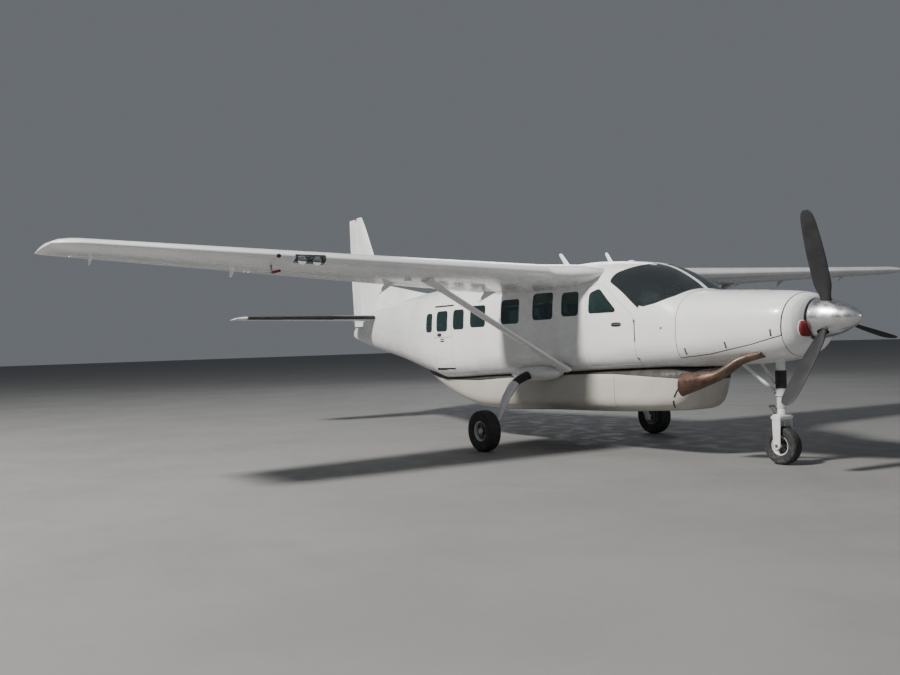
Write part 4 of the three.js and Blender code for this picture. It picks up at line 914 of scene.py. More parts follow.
def hinge_room(name, side, turning):
    """The room cut round a hinge line: along the whole edge of a door that lifts or drops."""
    if name not in HINGE_ROOM:
        return solid(tube(hinge_ends(name, side), KNUCKLE_ROOM, 18))
    if name in UPRIGHT_ROOM:
        s, y, _ = HINGES[name][0]
        ends = [Vector((at(s), side * y, z)) for z in UPRIGHT_ROOM[name]]
    else:
        front, back = PIANO[name]
        ends = [hinge_point(name, side, s) for s in (front - ROOM_PAST_END, back + ROOM_PAST_END)]
    return solid(tube(ends, HINGE_ROOM[name][0 if turning else 1], 28))


def long_barrel(name, side):
    """The fixed barrel beyond the frame's own, out to both ends of the door."""
    if name not in PIANO:
        return []
    (near, *_), (far, *_) = HINGES[name]
    front, back = PIANO[name]
    return [tube([hinge_point(name, side, s) for s in ends], BARREL, 18)
            for ends in ((front, near - 1), (far + 1, back))]


def knuckles(name, side):
    """A hinge's barrel, as the part that turns and the two ends that stay."""
    ends = hinge_ends(name, side)
    spots = [ends[0].lerp(ends[1], t) for t in (0, 0.298, 0.302, 0.698, 0.702, 1)]
    bars = [tube(spots[i:i + 2], KNUCKLE, 18) for i in (0, 2, 4)]
    return bars[1], gather([bars[0], bars[2]] + long_barrel(name, side))


pane_layer = layer(*PANE, FIREWALL_S + 1, CABIN_END_S - 1)
trim_layer = layer(*TRIM, FIREWALL_S + 1, CABIN_END_S - 1)
seal_layer = layer(-CABIN_WALL - 0.5, -CABIN_WALL - 8, FIREWALL_S + 60, CABIN_END_S - 30)
pane_skin, pane_back, trim_skin = (
    Smooth(fuselage(FIREWALL_S, CABIN_END_S, grow), 1) for grow in (*PANE, TRIM[0])
)


def sunk_normals(obj):
    """Turns a surface's normals the other way, for the inner face of a wall or a pane."""
    obj.normals = -obj.normals
    return obj


sunk_normals(pane_back)
for name in ("cabin", "cowl", "pod"):
    sunk_normals(skins[name][1])


def joined(objects):
    first = copy_of(objects[0])
    return join(first, *objects[1:]) if len(objects) > 1 else first


def rings_on(carrier, outlines, side):
    """A flat frame between the two outlines of each pair, on a layer of the skin."""
    frames = [cut(side_block(outer, side), side_block(inner, side)) for outer, inner in outlines]
    return meet(copy_of(carrier), joined(frames))


def glaze(names, ride, side, panes, rims, node):
    """Panes that fill window holes, and the trim round them."""
    glass = meet(copy_of(pane_layer), joined([side_block(outline, side) for outline in panes]))
    dress(glass, pane_skin, pane_back)
    piece(glass, names[0], ride, "window window", node)
    trim = dress(rings_on(trim_layer, rims, side), trim_skin)
    piece(trim, names[1], ride, "paint paint")


# Angles near the end of its swing at which a door that drops past level has to clear the shell below it
DROPPED = {"airstair_lower": (100, 108, 116, 126)}


def sill_in_door(name, side):
    """The shell below a dropping door, turned back to where it would cut into the door."""
    below = rectangle(7285, 7975, 1050, SIDE_DOOR["low"] - 1)
    sill = meet(copy_of(cabin_wall), side_block(below, side))
    axis = hinge_point(name, side, HINGES[name][0][0]) * MM
    strips = []
    for angle in DROPPED[name]:
        strip = copy_of(sill)
        turn = Matrix.Rotation(math.radians(side * angle), 4, "X")
        apart = Vector((0, side * 0.004, 0))
        strip.data.transform(Matrix.Translation(axis) @ turn @ Matrix.Translation(apart - axis))
        strips.append(strip)
    return strips


def make_cabin():
    holes = [side_block(door_hole(name), DOORS[name][1]) for name in ("crew_left", "crew_right")]
    holes += [side_block(outline, side) for outline, side in SIDE_HOLES]
    screen = rounded(WINDSCREEN, SCREEN_ROUND, 8)
    holes += [slab(screen, POST_HALF, SIDE_FAR), slab(screen, -SIDE_FAR, -POST_HALF)]
    for side in SIDES.values():
        holes += [side_block(window_outline(w), side) for w in WINDOWS[side]]
    rooms = [hinge_room(hinge, side, False) for _, side, hinge, *_ in DOORS.values() if hinge in HINGE_ROOM]
    shell = dress(cut(copy_of(cabin_wall), *holes, *rooms), *skins["cabin"])
    piece(shell, "fuselage_shell", "root", "edge paint liner", "cabin_shell")

    for word, side in SIDES.items():
        panes = [window_outline(w, SEAT) for w in WINDOWS[side]]
        rims = [(window_outline(w, -13), window_outline(w, 1.5)) for w in WINDOWS[side]]
        names = ("cabin_panes_" + word, "window_trim_" + word)
        glaze(names, "root", side, panes, rims, "cabin_glass_" + word)
        make_screen(word, side)
        seals = [(rounded(inset(outline, -16), 50, 5), rounded(inset(outline, 14), 40, 5))
                 for outline, door_side, *_ in DOORS.values() if door_side == side]
        seal = rings_on(seal_layer, seals, side)
        piece(seal, "door_seals_" + word, "root", "rubber", sharp=40)

    fixed = [knuckles(hinge, side)[1] for _, side, hinge, *_ in DOORS.values()]
    fitting(fixed, "cabin_hinge_ends", "root", "steel")


def make_screen(word, side):
    """One half of the windscreen, the trim that holds it and its dark edge band."""
    def half(less, start, end=SIDE_FAR, radii=SCREEN_ROUND):
        return slab(rounded(inset(WINDSCREEN, less), radii, 8), side * start, side * end)

    past = SIDE_FAR + 50
    glass = meet(layer(PANE[0], -13, FIREWALL_S + 1, 3700), half(SEAT, POST_HALF + SEAT))
    dress(glass, pane_skin)
    piece(glass, "windshield_pane_" + word, "root", "screen screen", "windshield_" + word)
    outer = half(-24, POST_HALF - 14, radii=[r * 1.2 for r in SCREEN_ROUND])
    trim = meet(copy_of(trim_layer), cut(outer, half(8, POST_HALF + 8, past)))
    dress(trim, trim_skin)
    piece(trim, "windshield_trim_" + word, "root", "paint paint")
    band = cut(half(1, POST_HALF), half(15, POST_HALF + 12, past))
    bead = meet(layer(-0.6, -2.9, FIREWALL_S + 1, 3600), band)
    piece(bead, "windshield_seal_" + word, "root", "rubber", sharp=40)


def make_doors():
    for name, (_, side, hinge, node, ride) in DOORS.items():
        panel = meet(copy_of(cabin_wall), side_block(door_panel_outline(name), side))
        glass, windows = DOOR_WINDOWS.get(name, ("", []))
        if windows:
            cut(panel, *[side_block(pane_outline(w), side) for w in windows])
        cut(panel, hinge_room(hinge, side, True), *(sill_in_door(name, side) if name in DROPPED else []))
        dress(panel, *skins["cabin"])
        piece(panel, name + "_panel", ride, "edge paint liner", node)
        fitting(knuckles(hinge, side)[0], name + "_hinge", ride, "steel")
        if windows:
            panes = [pane_outline(w, SEAT) for w in windows]
            rims = [(pane_outline(w, -12), pane_outline(w, 1.5)) for w in windows]
            glaze((name + "_pane", name + "_window_trim"), ride, side, panes, rims, glass)
        make_handle(name, side, ride)
    for word, side in SIDES.items():
        caps = [patch(FUSELAGE, *spot, side, *halves, 1.8) for spot in HINGE_CAPS for halves in CAP_HALVES]
        fitting(caps, "crew_door_hinge_caps_" + word, "root", "dark_steel")


# Steps on the airstair's lower door, which are level when it is open
STEPS = {"heights": (1275, 1420, 1565), "ends": (7425, 7845), "deep": 125, "half_thick": 8, "open": 125}


def make_steps():
    (front, back), deep, thin = STEPS["ends"], STEPS["deep"], STEPS["half_thick"]
    turn = math.radians(STEPS["open"])
    out = Vector((0, -math.cos(turn), math.sin(turn)))
    flat = Vector((0, -out.z, out.y))
    corners = ((front, 5), (front + 4, 1.5), (front + 10, 0), (back - 10, 0), (back - 4, 1.5), (back, 5))
    treads = []
    for z in STEPS["heights"]:
        root = Vector(side_point(FUSELAGE, 7635, z, STARBOARD, 4 - CABIN_WALL))
        rings = []
        for s, less in corners:
            middle = Vector((at(s), root.y, root.z)) + out * (deep / 2)
            rings.append([middle + out * (bent(math.cos(a)) * (deep / 2 - less))
                          + flat * (bent(math.sin(a)) * (thin - less)) for a in turns(32)])
        treads.append(loft(rings))
    fitting(treads, "airstair_step_treads", "airstair_lower_body", "alloy")
    rails = []
    inside = -CABIN_WALL - 5
    for s in (front - 12, back + 12):
        line = [side_point(FUSELAGE, s, z, STARBOARD, inside) for z in range(1245, 1716, 47)]
        rails.append(tube(line, 11, 16))
        for z in STEPS["heights"]:
            root = Vector(side_point(FUSELAGE, s, z, STARBOARD, inside))
            rails.append(tube([root, root + out * (deep * 0.8)], 7, 12))
    fitting(rails, "airstair_step_rails", "airstair_lower_body", "steel")


def bent(value, power=0.35):
    """A cosine or sine pushed outwards, so that a ring of them is a rounded rectangle."""
    return math.copysign(abs(value) ** power, value)


# Handles: station and Z of the middle, and length
HANDLES = {"crew_left": (3200, 1830, 190), "crew_right": (3200, 1830, 190),
           "airstair_upper": (7742, 1790, 150), "airstair_lower": (7650, 1690, 150),
           "cargo_upper": (7320, 1800, 190), "cargo_lower": (7810, 1600, 170)}


def on_side(table, s, z, side):
    """A skin point and its outward normal."""
    spots = [Vector(side_point(table, s + a, z + b, side)) for a, b in ((0, 0), (4, 0), (0, 4))]
    normal = (spots[1] - spots[0]).cross(spots[2] - spots[0]).normalized()
    return spots[0], normal if normal.y * side > 0 else -normal


def make_handle(name, side, ride):
    s, z, size = HANDLES[name]
    place, normal = on_side(FUSELAGE, s, z, side)
    along = Vector((1, 0, 0)) - normal * normal.x
    up = normal.cross(along)
    dish, grip = [], []
    for share in (-1, -0.93, -0.7, 0, 0.7, 0.93, 1):
        middle = place + along * (size / 2 * share)
        tall = 30 * (1 - abs(share) ** 4) ** 0.5 + 2
        wide, out = 9 * (1 - abs(share) ** 6 * 0.5), 7 * (1 - share ** 4) + 2
        for rings, across, lift, swell in ((dish, tall, 1.4, 0.7), (grip, wide, out, 4)):
            rings.append([middle + up * (across * math.cos(a)) + normal * (lift + swell * math.sin(a))
                          for a in turns(12)])
    fitting(loft(dish), name + "_handle_plate", ride, "rubber", 50)
    grip_look = "paint" if name == "airstair_lower" else "dark_steel"
    fitting(loft(grip), name + "_handle", ride, grip_look, 50)


def make_tail_cone():
    cone = copy_of(tail_outer)
    room = box(RUDDER_ROOM[0], PAST_TAIL, -SIDE_NEAR, SIDE_NEAR, RUDDER_ROOM[1], 3000)
    sides = [box(11730, PAST_TAIL, side * ELEVATOR_CONE_Y, side * SIDE_FAR, 2000, 2600)
             for side in SIDES.values()]
    cut(cone, tail_inner, solid(room), *[solid(s) for s in sides], stabilizer_solid(SEAT))
    dress(cone, *skins["tail"])
    piece(cone, "tail_cone_skin", "root", "tail tail", "tail_cone")


def bowl_end(z):
    return BOWL_END["s"] + BOWL_END["lean"] * (z - BOWL_END["z"])


def cowl_zone(above, gap):
    line = [(s, z + gap) for s, z in COWL_SPLIT]
    reach = 2600 if above else 900
    front_gap, back = (SEAM, FIREWALL_S - SEAT - CLEAR) if above else (SEAM / 2, FIREWALL_S - SEAT)
    ends = [(bowl_end(z) + front_gap, z) for z in (line[0][1], reach)]
    return [ends[0]] + line[1:-1] + [(back, line[-1][1]), (back, reach), ends[1]]


def inlet_shape(side):
    return rounded(INLETS[side], 34, 6)


def make_cowl():
    wall = cut(copy_of(cowl_outer), cowl_inner)
    shaft = solid(turned([(590, 0), (590, 150), (760, 150), (760, 0)], (LENGTH / 2, 0, PROP["z"]), "X"))
    inlets = [solid(loft([[(at(s), y, z) for y, z in inlet_shape(side)] for s in (560, 760)]))
              for side in INLETS]
    front = [(500, 1000), (bowl_end(1000), 1000), (bowl_end(2500), 2500), (500, 2500)]
    spine = solid(box(600, FIREWALL_S - SEAT, -SPINE_HALF, SPINE_HALF, 2000, 2500))
    zone = joined([slab(front, -SIDE_FAR, SIDE_FAR), spine])
    bowl = cut(meet(copy_of(wall), zone), shaft, *inlets)
    cut(bowl, *[hinge_room("cowl", side, False) for side in SIDES.values()])
    dress(bowl, *skins["cowl"])
    piece(bowl, "nose_bowl_skin", "root", "edge paint primer", "nose_bowl")
    ends = [knuckles("cowl", side)[1] for side in SIDES.values()]
    fitting(ends, "cowl_hinge_ends", "root", "steel")
    lower = dress(meet(copy_of(wall), slab(cowl_zone(False, 0), -SIDE_FAR, SIDE_FAR)), *skins["cowl"])
    piece(lower, "cowl_lower_skin", "root", "edge paint primer", "cowl_lower")
    for word, side in SIDES.items():
        zone = slab(cowl_zone(True, SEAM * 0.8), side * (SPINE_HALF + CLEAR), side * SIDE_FAR)
        door = cut(meet(copy_of(wall), zone), hinge_room("cowl", side, True))
        dress(door, *skins["cowl"])
        ride = "cowl_door_body_" + word
        name = "cowl_door_skin_" + word
        piece(door, name, ride, "edge paint primer", "cowl_door_" + word)
        fitting(knuckles("cowl", side)[0], "cowl_door_hinge_" + word, ride, "steel")
        make_latches(word, side, ride)
    make_inlets()


def patch(table, s, z, side, half_s, half_z, lift, corner=0.35):
    """A small rounded plate that lies on the skin."""
    outline = rounded(rectangle(-half_s, half_s, -half_z, half_z), corner * min(half_s, half_z), 4)
    rings = []
    for height, less in ((-SUNK, 1.0), (lift * 0.6, 1.0), (lift, 0.88)):
        spots = [on_side(table, s + a * less, z + b * less, side) for a, b in outline]
        rings.append([place + normal * height for place, normal in spots])
    return loft(rings)


# Latches: station and Z of each, and half sizes and lift of its white bezel and its dark slot
LATCHES = ((873, 1654), (1512, 1517), (2120, 1443))
LATCH_PLATES = (("cowl_latch_bezels_", "paint", 24, 56, 2.2), ("cowl_latches_", "dark_steel", 12, 44, 3.6))

# The red plug in the starboard inlet: its middle as Y and Z, then how far aft and how large each ring is
PLUG_MIDDLE = (-232, 1690)
PLUG_RINGS = ((60, 0.93), (10, 0.955), (-12, 0.95), (-22, 0.88), (-27, 0.6), (-28, 0.25))


def make_latches(word, side, ride):
    """Flush latches along the cowl door's lower edge."""
    for name, look, *size in LATCH_PLATES:
        plates = [patch(FUSELAGE, *spot, side, *size) for spot in LATCHES]
        fitting(plates, name + word, ride, look)


def shrunk(outline, middle, size):
    """An outline of Y and Z drawn in towards a middle."""
    return [(lerp(middle[0], y, size), lerp(middle[1], z, size)) for y, z in outline]


def make_inlets():
    """A lip and a duct in each inlet, and the red plug in the starboard one."""
    lips, ducts = [], []
    for side, outline in INLETS.items():
        shape = inlet_shape(side)
        front = [Vector((at(skin_station(y, z)) - 2, y, z)) for y, z in shape]
        lips.append(tube(front, 7, 10, closed=True))
        middle = (sum(y for y, _ in outline) / len(outline), sum(z for _, z in outline) / len(outline))
        ducts.append(loft([[(at(s), y, z) for y, z in shrunk(shape, middle, size)]
                           for s, size in ((668, 0.995), (960, 0.8), (961, 0.74), (668, 0.95))], closed=True))
    fitting(lips, "inlet_lips", "root", "paint", 60)
    fitting(ducts, "inlet_ducts", "root", "primer")
    shape = inlet_shape(STARBOARD)
    plug = loft([[(at(skin_station(y, z) + depth), y, z) for y, z in shrunk(shape, PLUG_MIDDLE, size)]
                 for depth, size in PLUG_RINGS])
    fitting(plug, "inlet_plug", "root", "red", 50)


def skin_station(y, z):
    """The station where the nose bowl's front reaches a place of Y and Z."""
    low, high = COWL_FRONT_S, 900.0
    for _ in range(30):
        s = (low + high) / 2
        wide = FUSELAGE.wide(s)
        power = FUSELAGE.top(s) if z >= wide else FUSELAGE.base(s)
        tall = FUSELAGE.high(s) - wide if z >= wide else wide - FUSELAGE.low(s)
        inside = (abs(y) / FUSELAGE.half(s)) ** power + (abs(z - wide) / tall) ** power < 1
        low, high = (low, s) if inside else (s, high)
    return high


# Wings and tail surfaces

def half_thickness(f):
    return 5 * (0.2969 * math.sqrt(f) - 0.126 * f - 0.3516 * f ** 2 + 0.2843 * f ** 3 - 0.1036 * f ** 4)


def foil_point(table, side, y, share, face, grow=0.0):
    lead, trail = table.lead(y), table.trail(y)
    chord = trail - lead
    thick = max(half_thickness(share) * table.thick(y) * chord, TRAIL_HALF if share > 0 else 0)
    z = lerp(table.leadZ(y), table.trailZ(y), share) + table.camber * chord * 4 * share * (1 - share)
    return at(lead + share * chord), side * y, z + face * (thick + grow)


def foil_ring(table, side, y, grow=0.0):
    upper = [foil_point(table, side, y, f, 1, grow) for f in FOIL_SHARES]
    lower = [foil_point(table, side, y, f, -1, grow) for f in FOIL_SHARES[0 if grow else 1:][::-1]]
    return upper + lower


def wing_form(side, grow=0.0):
    places = WING.places(*WING.ends, 240)
    return solid(loft([foil_ring(WING, side, y, grow) for y in places]))


def hinge_place(table, side, hinge, y):
    share = (y - hinge["inner"]) / (hinge["outer"] - hinge["inner"])
    s = lerp(hinge["innerS"], hinge["outerS"], share)
    f = (s - table.lead(y)) / (table.trail(y) - table.lead(y))
    up, down = (foil_point(table, side, y, f, face) for face in (1, -1))
    return s, f, (up[2] + down[2]) / 2, (up[2] - down[2]) / 2


def flap_ring(table, side, hinge, y):
    s, f, z, radius = hinge_place(table, side, hinge, y)
    round_nose = [math.pi * i / 14 for i in range(15)]
    nose = [(at(s) + radius * math.sin(a), side * y, z + radius * math.cos(a)) for a in round_nose]
    shares = [lerp(f, 1, i / 9) for i in range(1, 10)]
    lower = [foil_point(table, side, y, g, -1) for g in shares]
    upper = [foil_point(table, side, y, g, 1) for g in shares[::-1]]
    return nose + lower + upper


def flap_shape(table, side, hinge):
    count = max(2, math.ceil((hinge["outer"] - hinge["inner"]) / 240))
    places = [lerp(hinge["inner"], hinge["outer"], i / count) for i in range(count + 1)]
    return loft([flap_ring(table, side, hinge, y) for y in places])


def bay(table, side, hinge, inner=None, grow=0.0):
    """The room behind a surface's hinge line, out past the trailing edge."""
    ends = []
    for y, gap in ((hinge["inner"], -END_GAP), (hinge["outer"], END_GAP)):
        s, _, _, radius = hinge_place(table, side, hinge, y)
        ends.append((s - radius - NOSE_GAP + grow, side * (y + gap)))
    if inner is not None:
        ends[0] = (ends[0][0], side * inner)
    outline = [ends[0], ends[1], (PAST_TAIL, ends[1][1]), (PAST_TAIL, ends[0][1])]
    return solid(loft([[(at(s), y, z) for s, y in outline] for z in (1900, 3200)]))


def arm_shapes(table, side, hinge):
    """The three-cornered arms under a surface and the rod end at each tip."""
    plates, tips = [], []
    for y, back, drop in hinge["arms"]:
        s, _, z, radius = hinge_place(table, side, hinge, y)
        trail, trail_z = table.trail(y), table.trailZ(y)
        tip, low = trail + back, trail_z - drop
        arm = [(s + 12, z - radius + 12), (tip, low), (tip, low + 24), (trail - 120, lerp(trail_z, z, 0.3))]
        foot = [(s + 30, z - radius + 6), (s + 150, z - radius - 24), (trail - 160, trail_z - 6)]
        for outline, half in ((rounded(arm, [2, 9, 9, 2], 4), 9), (rounded(foot, 4, 3), 13)):
            plates.append(prism(outline, side * (y - half), side * (y + half)))
        tips.append(rod((tip - 12, side * (y - 15), low + 13), (tip - 12, side * (y + 15), low + 13), 8))
    return plates, tips


# The window in the wing's edge, by the Y of its ends and its outline, the wall behind it and its two lamps
LAMP = {"ends": (4832, 5235), "window": (3980, 4125, 2628, 2768), "wall": (4118, 4140), "s": 4070, "z": 2698,
        "places": (4930, 5130)}
STRUT_PAD = {"y": 3350, "half": 35, "ends": (4525, 4595), "share": 0.36}


def make_wing(word, side):
    whole = wing_form(side)
    skin = Smooth(whole, 1)
    y, half = STRUT_PAD["y"], STRUT_PAD["half"]
    pad_z = foil_point(WING, side, y, STRUT_PAD["share"], -1)[2]
    outline = rounded(rectangle(*STRUT_PAD["ends"], pad_z - 30, pad_z + 40), 5, 3)
    wing = join(copy_of(whole), slab(outline, side * (y - half), side * (y + half)))
    cut(wing, bay(WING, side, AILERON), bay(WING, side, FLAP), hull)
    inner, outer = LAMP["ends"]
    window = slab(rounded(rectangle(*LAMP["window"]), 30, 5), *sorted((side * inner, side * outer)))
    lamp_glass = meet(copy_of(whole), window)
    cut(wing, window)
    dress(wing, skin)
    for p in wing.data.polygons:
        x, y, _ = p.center / MM
        if p.material_index == 0 and x > at(LAMP["window"][1] + 2) and inner - 7 < abs(y) < outer + 7:
            p.material_index = 2
    piece(wing, "wing_skin_" + word, "root", "wing wing boot", "wing_" + word)
    lamp_shell = dress(cut(lamp_glass, moved(copy_of(lamp_glass), (-5, 0, 0))), skin)
    piece(lamp_shell, "landing_lamp_window_" + word, "root", "lens lens")
    back = box(*LAMP["wall"], side * (inner - 4), side * (outer + 4), 2600, 2800)
    back = meet(copy_of(whole), solid(back))
    piece(back, "landing_lamp_wall_" + word, "root", "boot", sharp=40)
    profile = [(0, 0), (0, 58), (10, 60), (30, 40), (42, 0)]
    lamps = [turned(profile, (at(LAMP["s"]), side * y, LAMP["z"] + (y - LAMP["places"][0]) * 0.036), "X", 36)
             for y in LAMP["places"]]
    fitting(lamps, "landing_lamps_" + word, "root", "alloy")

    for kind, hinge in (("aileron", AILERON), ("flap", FLAP)):
        surface = solid(flap_shape(WING, side, hinge))
        ride = f"{kind}_body_{word}"
        piece(surface, f"{kind}_skin_{word}", ride, "wing", f"{kind}_{word}", sharp=35)
        plates, tips = arm_shapes(WING, side, hinge)
        fitting(plates, f"{kind}_arms_{word}", ride, "wing", 35)
        fitting(tips, f"{kind}_arm_ends_{word}", ride, "steel", 35)


def moved(obj, by):
    obj.data.transform(Matrix.Translation(Vector(by) * MM))
    return obj


def stabilizer_form(grow=0.0):
    places = STABILIZER.places(*STABILIZER.ends, 180)
    rings = [foil_ring(STABILIZER, STARBOARD, y, grow) for y in places[::-1]]
    rings += [foil_ring(STABILIZER, PORT, y, grow) for y in places[1:]]
    return solid(loft(rings))


def stabilizer_solid(grow=0.0):
    bays = [bay(STABILIZER, side, ELEVATOR, -END_GAP - 1, grow) for side in SIDES.values()]
    return cut(stabilizer_form(grow), *bays)


# The dark boot on the stabilizer's nose: the Y of its ends and how far aft it reaches
TAIL_BOOT = {"inner": 330, "outer": 2960, "deep": 105}


def make_stabilizer():
    main = dress(stabilizer_solid(), Smooth(stabilizer_form(), 1))
    inner, outer, deep = TAIL_BOOT.values()
    for p in main.data.polygons:
        x, y = p.center.x / MM, abs(p.center.y / MM)
        lead = STABILIZER.lead(min(y, TAILPLANE_TIP))
        if p.material_index == 1 and inner < y < outer and LENGTH / 2 - x < lead + deep:
            p.material_index = 2
    piece(main, "stabilizer_skin", "root", "tail tail boot", "stabilizer")
    for word, side in SIDES.items():
        surface, ride = solid(flap_shape(STABILIZER, side, ELEVATOR)), "elevator_body_" + word
        piece(surface, "elevator_skin_" + word, ride, "tail", "elevator_" + word, sharp=35)


def fin_point(z, share, face):
    lead, trail = FIN.lead(z), FIN.trail(z)
    chord = trail - lead
    thick = max(half_thickness(share) * FIN.thick(z) * chord, TRAIL_HALF if share > 0 else 0)
    return at(lead + share * chord), face * thick, z


def rudder_end(z):
    s = lerp(RUDDER["baseS"], RUDDER["topS"], (z - RUDDER["baseZ"]) / (RUDDER["topZ"] - RUDDER["baseZ"]))
    share = (s - FIN.lead(z)) / (FIN.trail(z) - FIN.lead(z))
    return s, share, fin_point(z, share, 1)[1]


def dorsal_ring(z):
    """One level of the fairing ahead of the fin: a rounded nose, flared where it meets the body."""
    front, back, top = (DORSAL[key] for key in ("front", "back", "top"))
    start = lerp(front, back, max(0, (z - FUSELAGE.high(front) + 6) / (top - FUSELAGE.high(front))))
    above = z - FUSELAGE.high(start)
    half = DORSAL["half"] * min(1 + 1.6 * math.exp(-above / 60) if above > 0 else 2.6, 2.6)
    reach = min(160, (back - start) * 0.9)
    nose = [(min(1, k / 8) ** 2 * reach, half * math.sqrt(1 - (1 - k / 8) ** 2)) for k in range(9)]
    right = [(at(start + d), h, z) for d, h in nose] + [(at(back), half, z)]
    return right + [(x, -y, z) for x, y, z in right[:0:-1]]


def rudder_ring(z):
    s, share, radius = rudder_end(z)
    round_nose = [math.pi * k / 12 for k in range(13)]
    nose = [(at(s) + radius * math.sin(a), radius * math.cos(a), z) for a in round_nose]
    shares = [lerp(share, 1, k / 7) for k in range(1, 8)]
    return nose + [fin_point(z, g, -1) for g in shares] + [fin_point(z, g, 1) for g in shares[::-1]]


def make_fin():
    blade = solid(loft([
        [fin_point(z, f, 1) for f in FOIL_SHARES] + [fin_point(z, f, -1) for f in FOIL_SHARES[:0:-1]]
        for z in FIN.places(*FIN.ends, 140)
    ]))
    dorsal = solid(loft([dorsal_ring(lerp(DORSAL["base"], DORSAL["top"], i / 14)) for i in range(15)]))
    layers = (Smooth(blade, 1), Smooth(dorsal, 1))
    past_top = RUDDER["topZ"] + 60
    outline = [(RUDDER["baseS"] - rudder_end(RUDDER["baseZ"])[2] - NOSE_GAP, RUDDER["baseZ"]),
               (RUDDER["topS"] + 8 - rudder_end(RUDDER["topZ"])[2] - NOSE_GAP, past_top),
               (PAST_TAIL, past_top), (PAST_TAIL, 1900), (RUDDER["baseS"] - 90, 1900)]
    room = slab(outline, -SIDE_NEAR, SIDE_NEAR)
    fin = cut(join(copy_of(blade), dorsal), room, hull, stabilizer_solid(SEAT))
    dress(fin, *layers)
    piece(fin, "fin_skin", "root", "tail tail", "fin")

    rudder = solid(loft([rudder_ring(lerp(RUDDER["baseZ"], RUDDER["topZ"], i / 14)) for i in range(15)]))
    piece(rudder, "rudder_skin", "rudder_body", "tail", "rudder", sharp=35)
    pin = rod((RUDDER["baseS"] - 4, 0, RUDDER_ROOM[1] + 0.4), (RUDDER["baseS"], 0, RUDDER["baseZ"] + 4), 14)
    fitting(pin, "rudder_pin", "rudder_body", "steel")


# Struts, gear and wheels

STRUT = {"low": (4340, 780, 1190), "high": (4500, 3100, 2520), "chord": 190, "thick": 66,
         "bands": (0.118, 0.9)}
STRUT_SIZES = ((0, 1.5), (0.03, 1.42), (0.06, 1.2), (0.09, 1.02), (0.12, 1), (0.5, 1), (0.9, 1), (0.93, 1.02),
               (0.955, 1.2), (0.98, 1.42), (1, 1.5))


def make_strut(word, side):
    low, high = (Vector((at(s), side * y, z)) for s, y, z in (STRUT["low"], STRUT["high"]))
    along = (high - low).normalized()
    fore = (Vector((1, 0, 0)) - along * along.x).normalized()
    up = along.cross(fore)
    chord, thick = STRUT["chord"] / 2, STRUT["thick"] / 2
    rings = []
    for share, size in STRUT_SIZES:
        middle = low.lerp(high, share)
        ring = []
        for a in turns(28):
            thin = thick * size * math.sin(a) * (1 - 0.28 * (1 - math.cos(a)) / 2)
            ring.append(middle + fore * (chord * size * math.cos(a)) + up * thin)
        rings.append(ring)
    whole = solid(loft(rings))
    strut = cut(copy_of(whole), hull, wing_form(side, SEAT))
    dress(strut, Smooth(whole, 1))
    piece(strut, "strut_skin_" + word, "root", "wing wing", "strut_" + word)
    bands = []
    for share in STRUT["bands"]:
        middle = low.lerp(high, share)
        bands.append(loft([[
            middle + along * shift + fore * (chord * size * math.cos(a))
            + up * (thick * (size + 0.03) * math.sin(a)) for a in turns(28)
        ] for shift, size in ((-16, 1.02), (-16, 1.05), (16, 1.05), (16, 1.02))]))
    fitting(bands, "strut_bands_" + word, "root", "wing")


LEG = Table("t y z deep thick", [
    (0, 560, 1160, 95, 60), (1, 860, 1120, 95, 58), (2, 1120, 1030, 80, 50), (3, 1310, 850, 70, 44),
    (4, 1470, 560, 62, 38), (5, 1610, 330, 56, 34), (6, 1640, 250, 50, 30),
])
GEAR_FAIRING = Table("s y z across tall", [
    (4560, 690, 1140, 50, 36), (4700, 730, 1136, 125, 90), (4980, 765, 1129, 188, 116),
    (5250, 765, 1122, 184, 112), (5550, 725, 1112, 115, 78), (5780, 680, 1104, 36, 26),
])


def leg_ring(side, t, size=1.0):
    ahead, behind = (Vector((0, LEG.y(t + d), LEG.z(t + d))) for d in (0.05, -0.05))
    along = (ahead - behind).normalized()
    normal = Vector((0, -along.z, along.y))
    ring = []
    for a in turns(24):
        lift = LEG.thick(t) * size * math.sin(a)
        ring.append((at(MAIN_WHEEL["s"]) + LEG.deep(t) * size * math.cos(a),
                     side * (LEG.y(t) + normal.y * lift), LEG.z(t) + normal.z * lift))
    return ring


def fairing_ring(s, side):
    y, z, across, tall = (getattr(GEAR_FAIRING, name)(s) for name in ("y", "z", "across", "tall"))
    return [(at(s), side * y + across * math.cos(a), z + tall * math.sin(a)) for a in turns(36)]


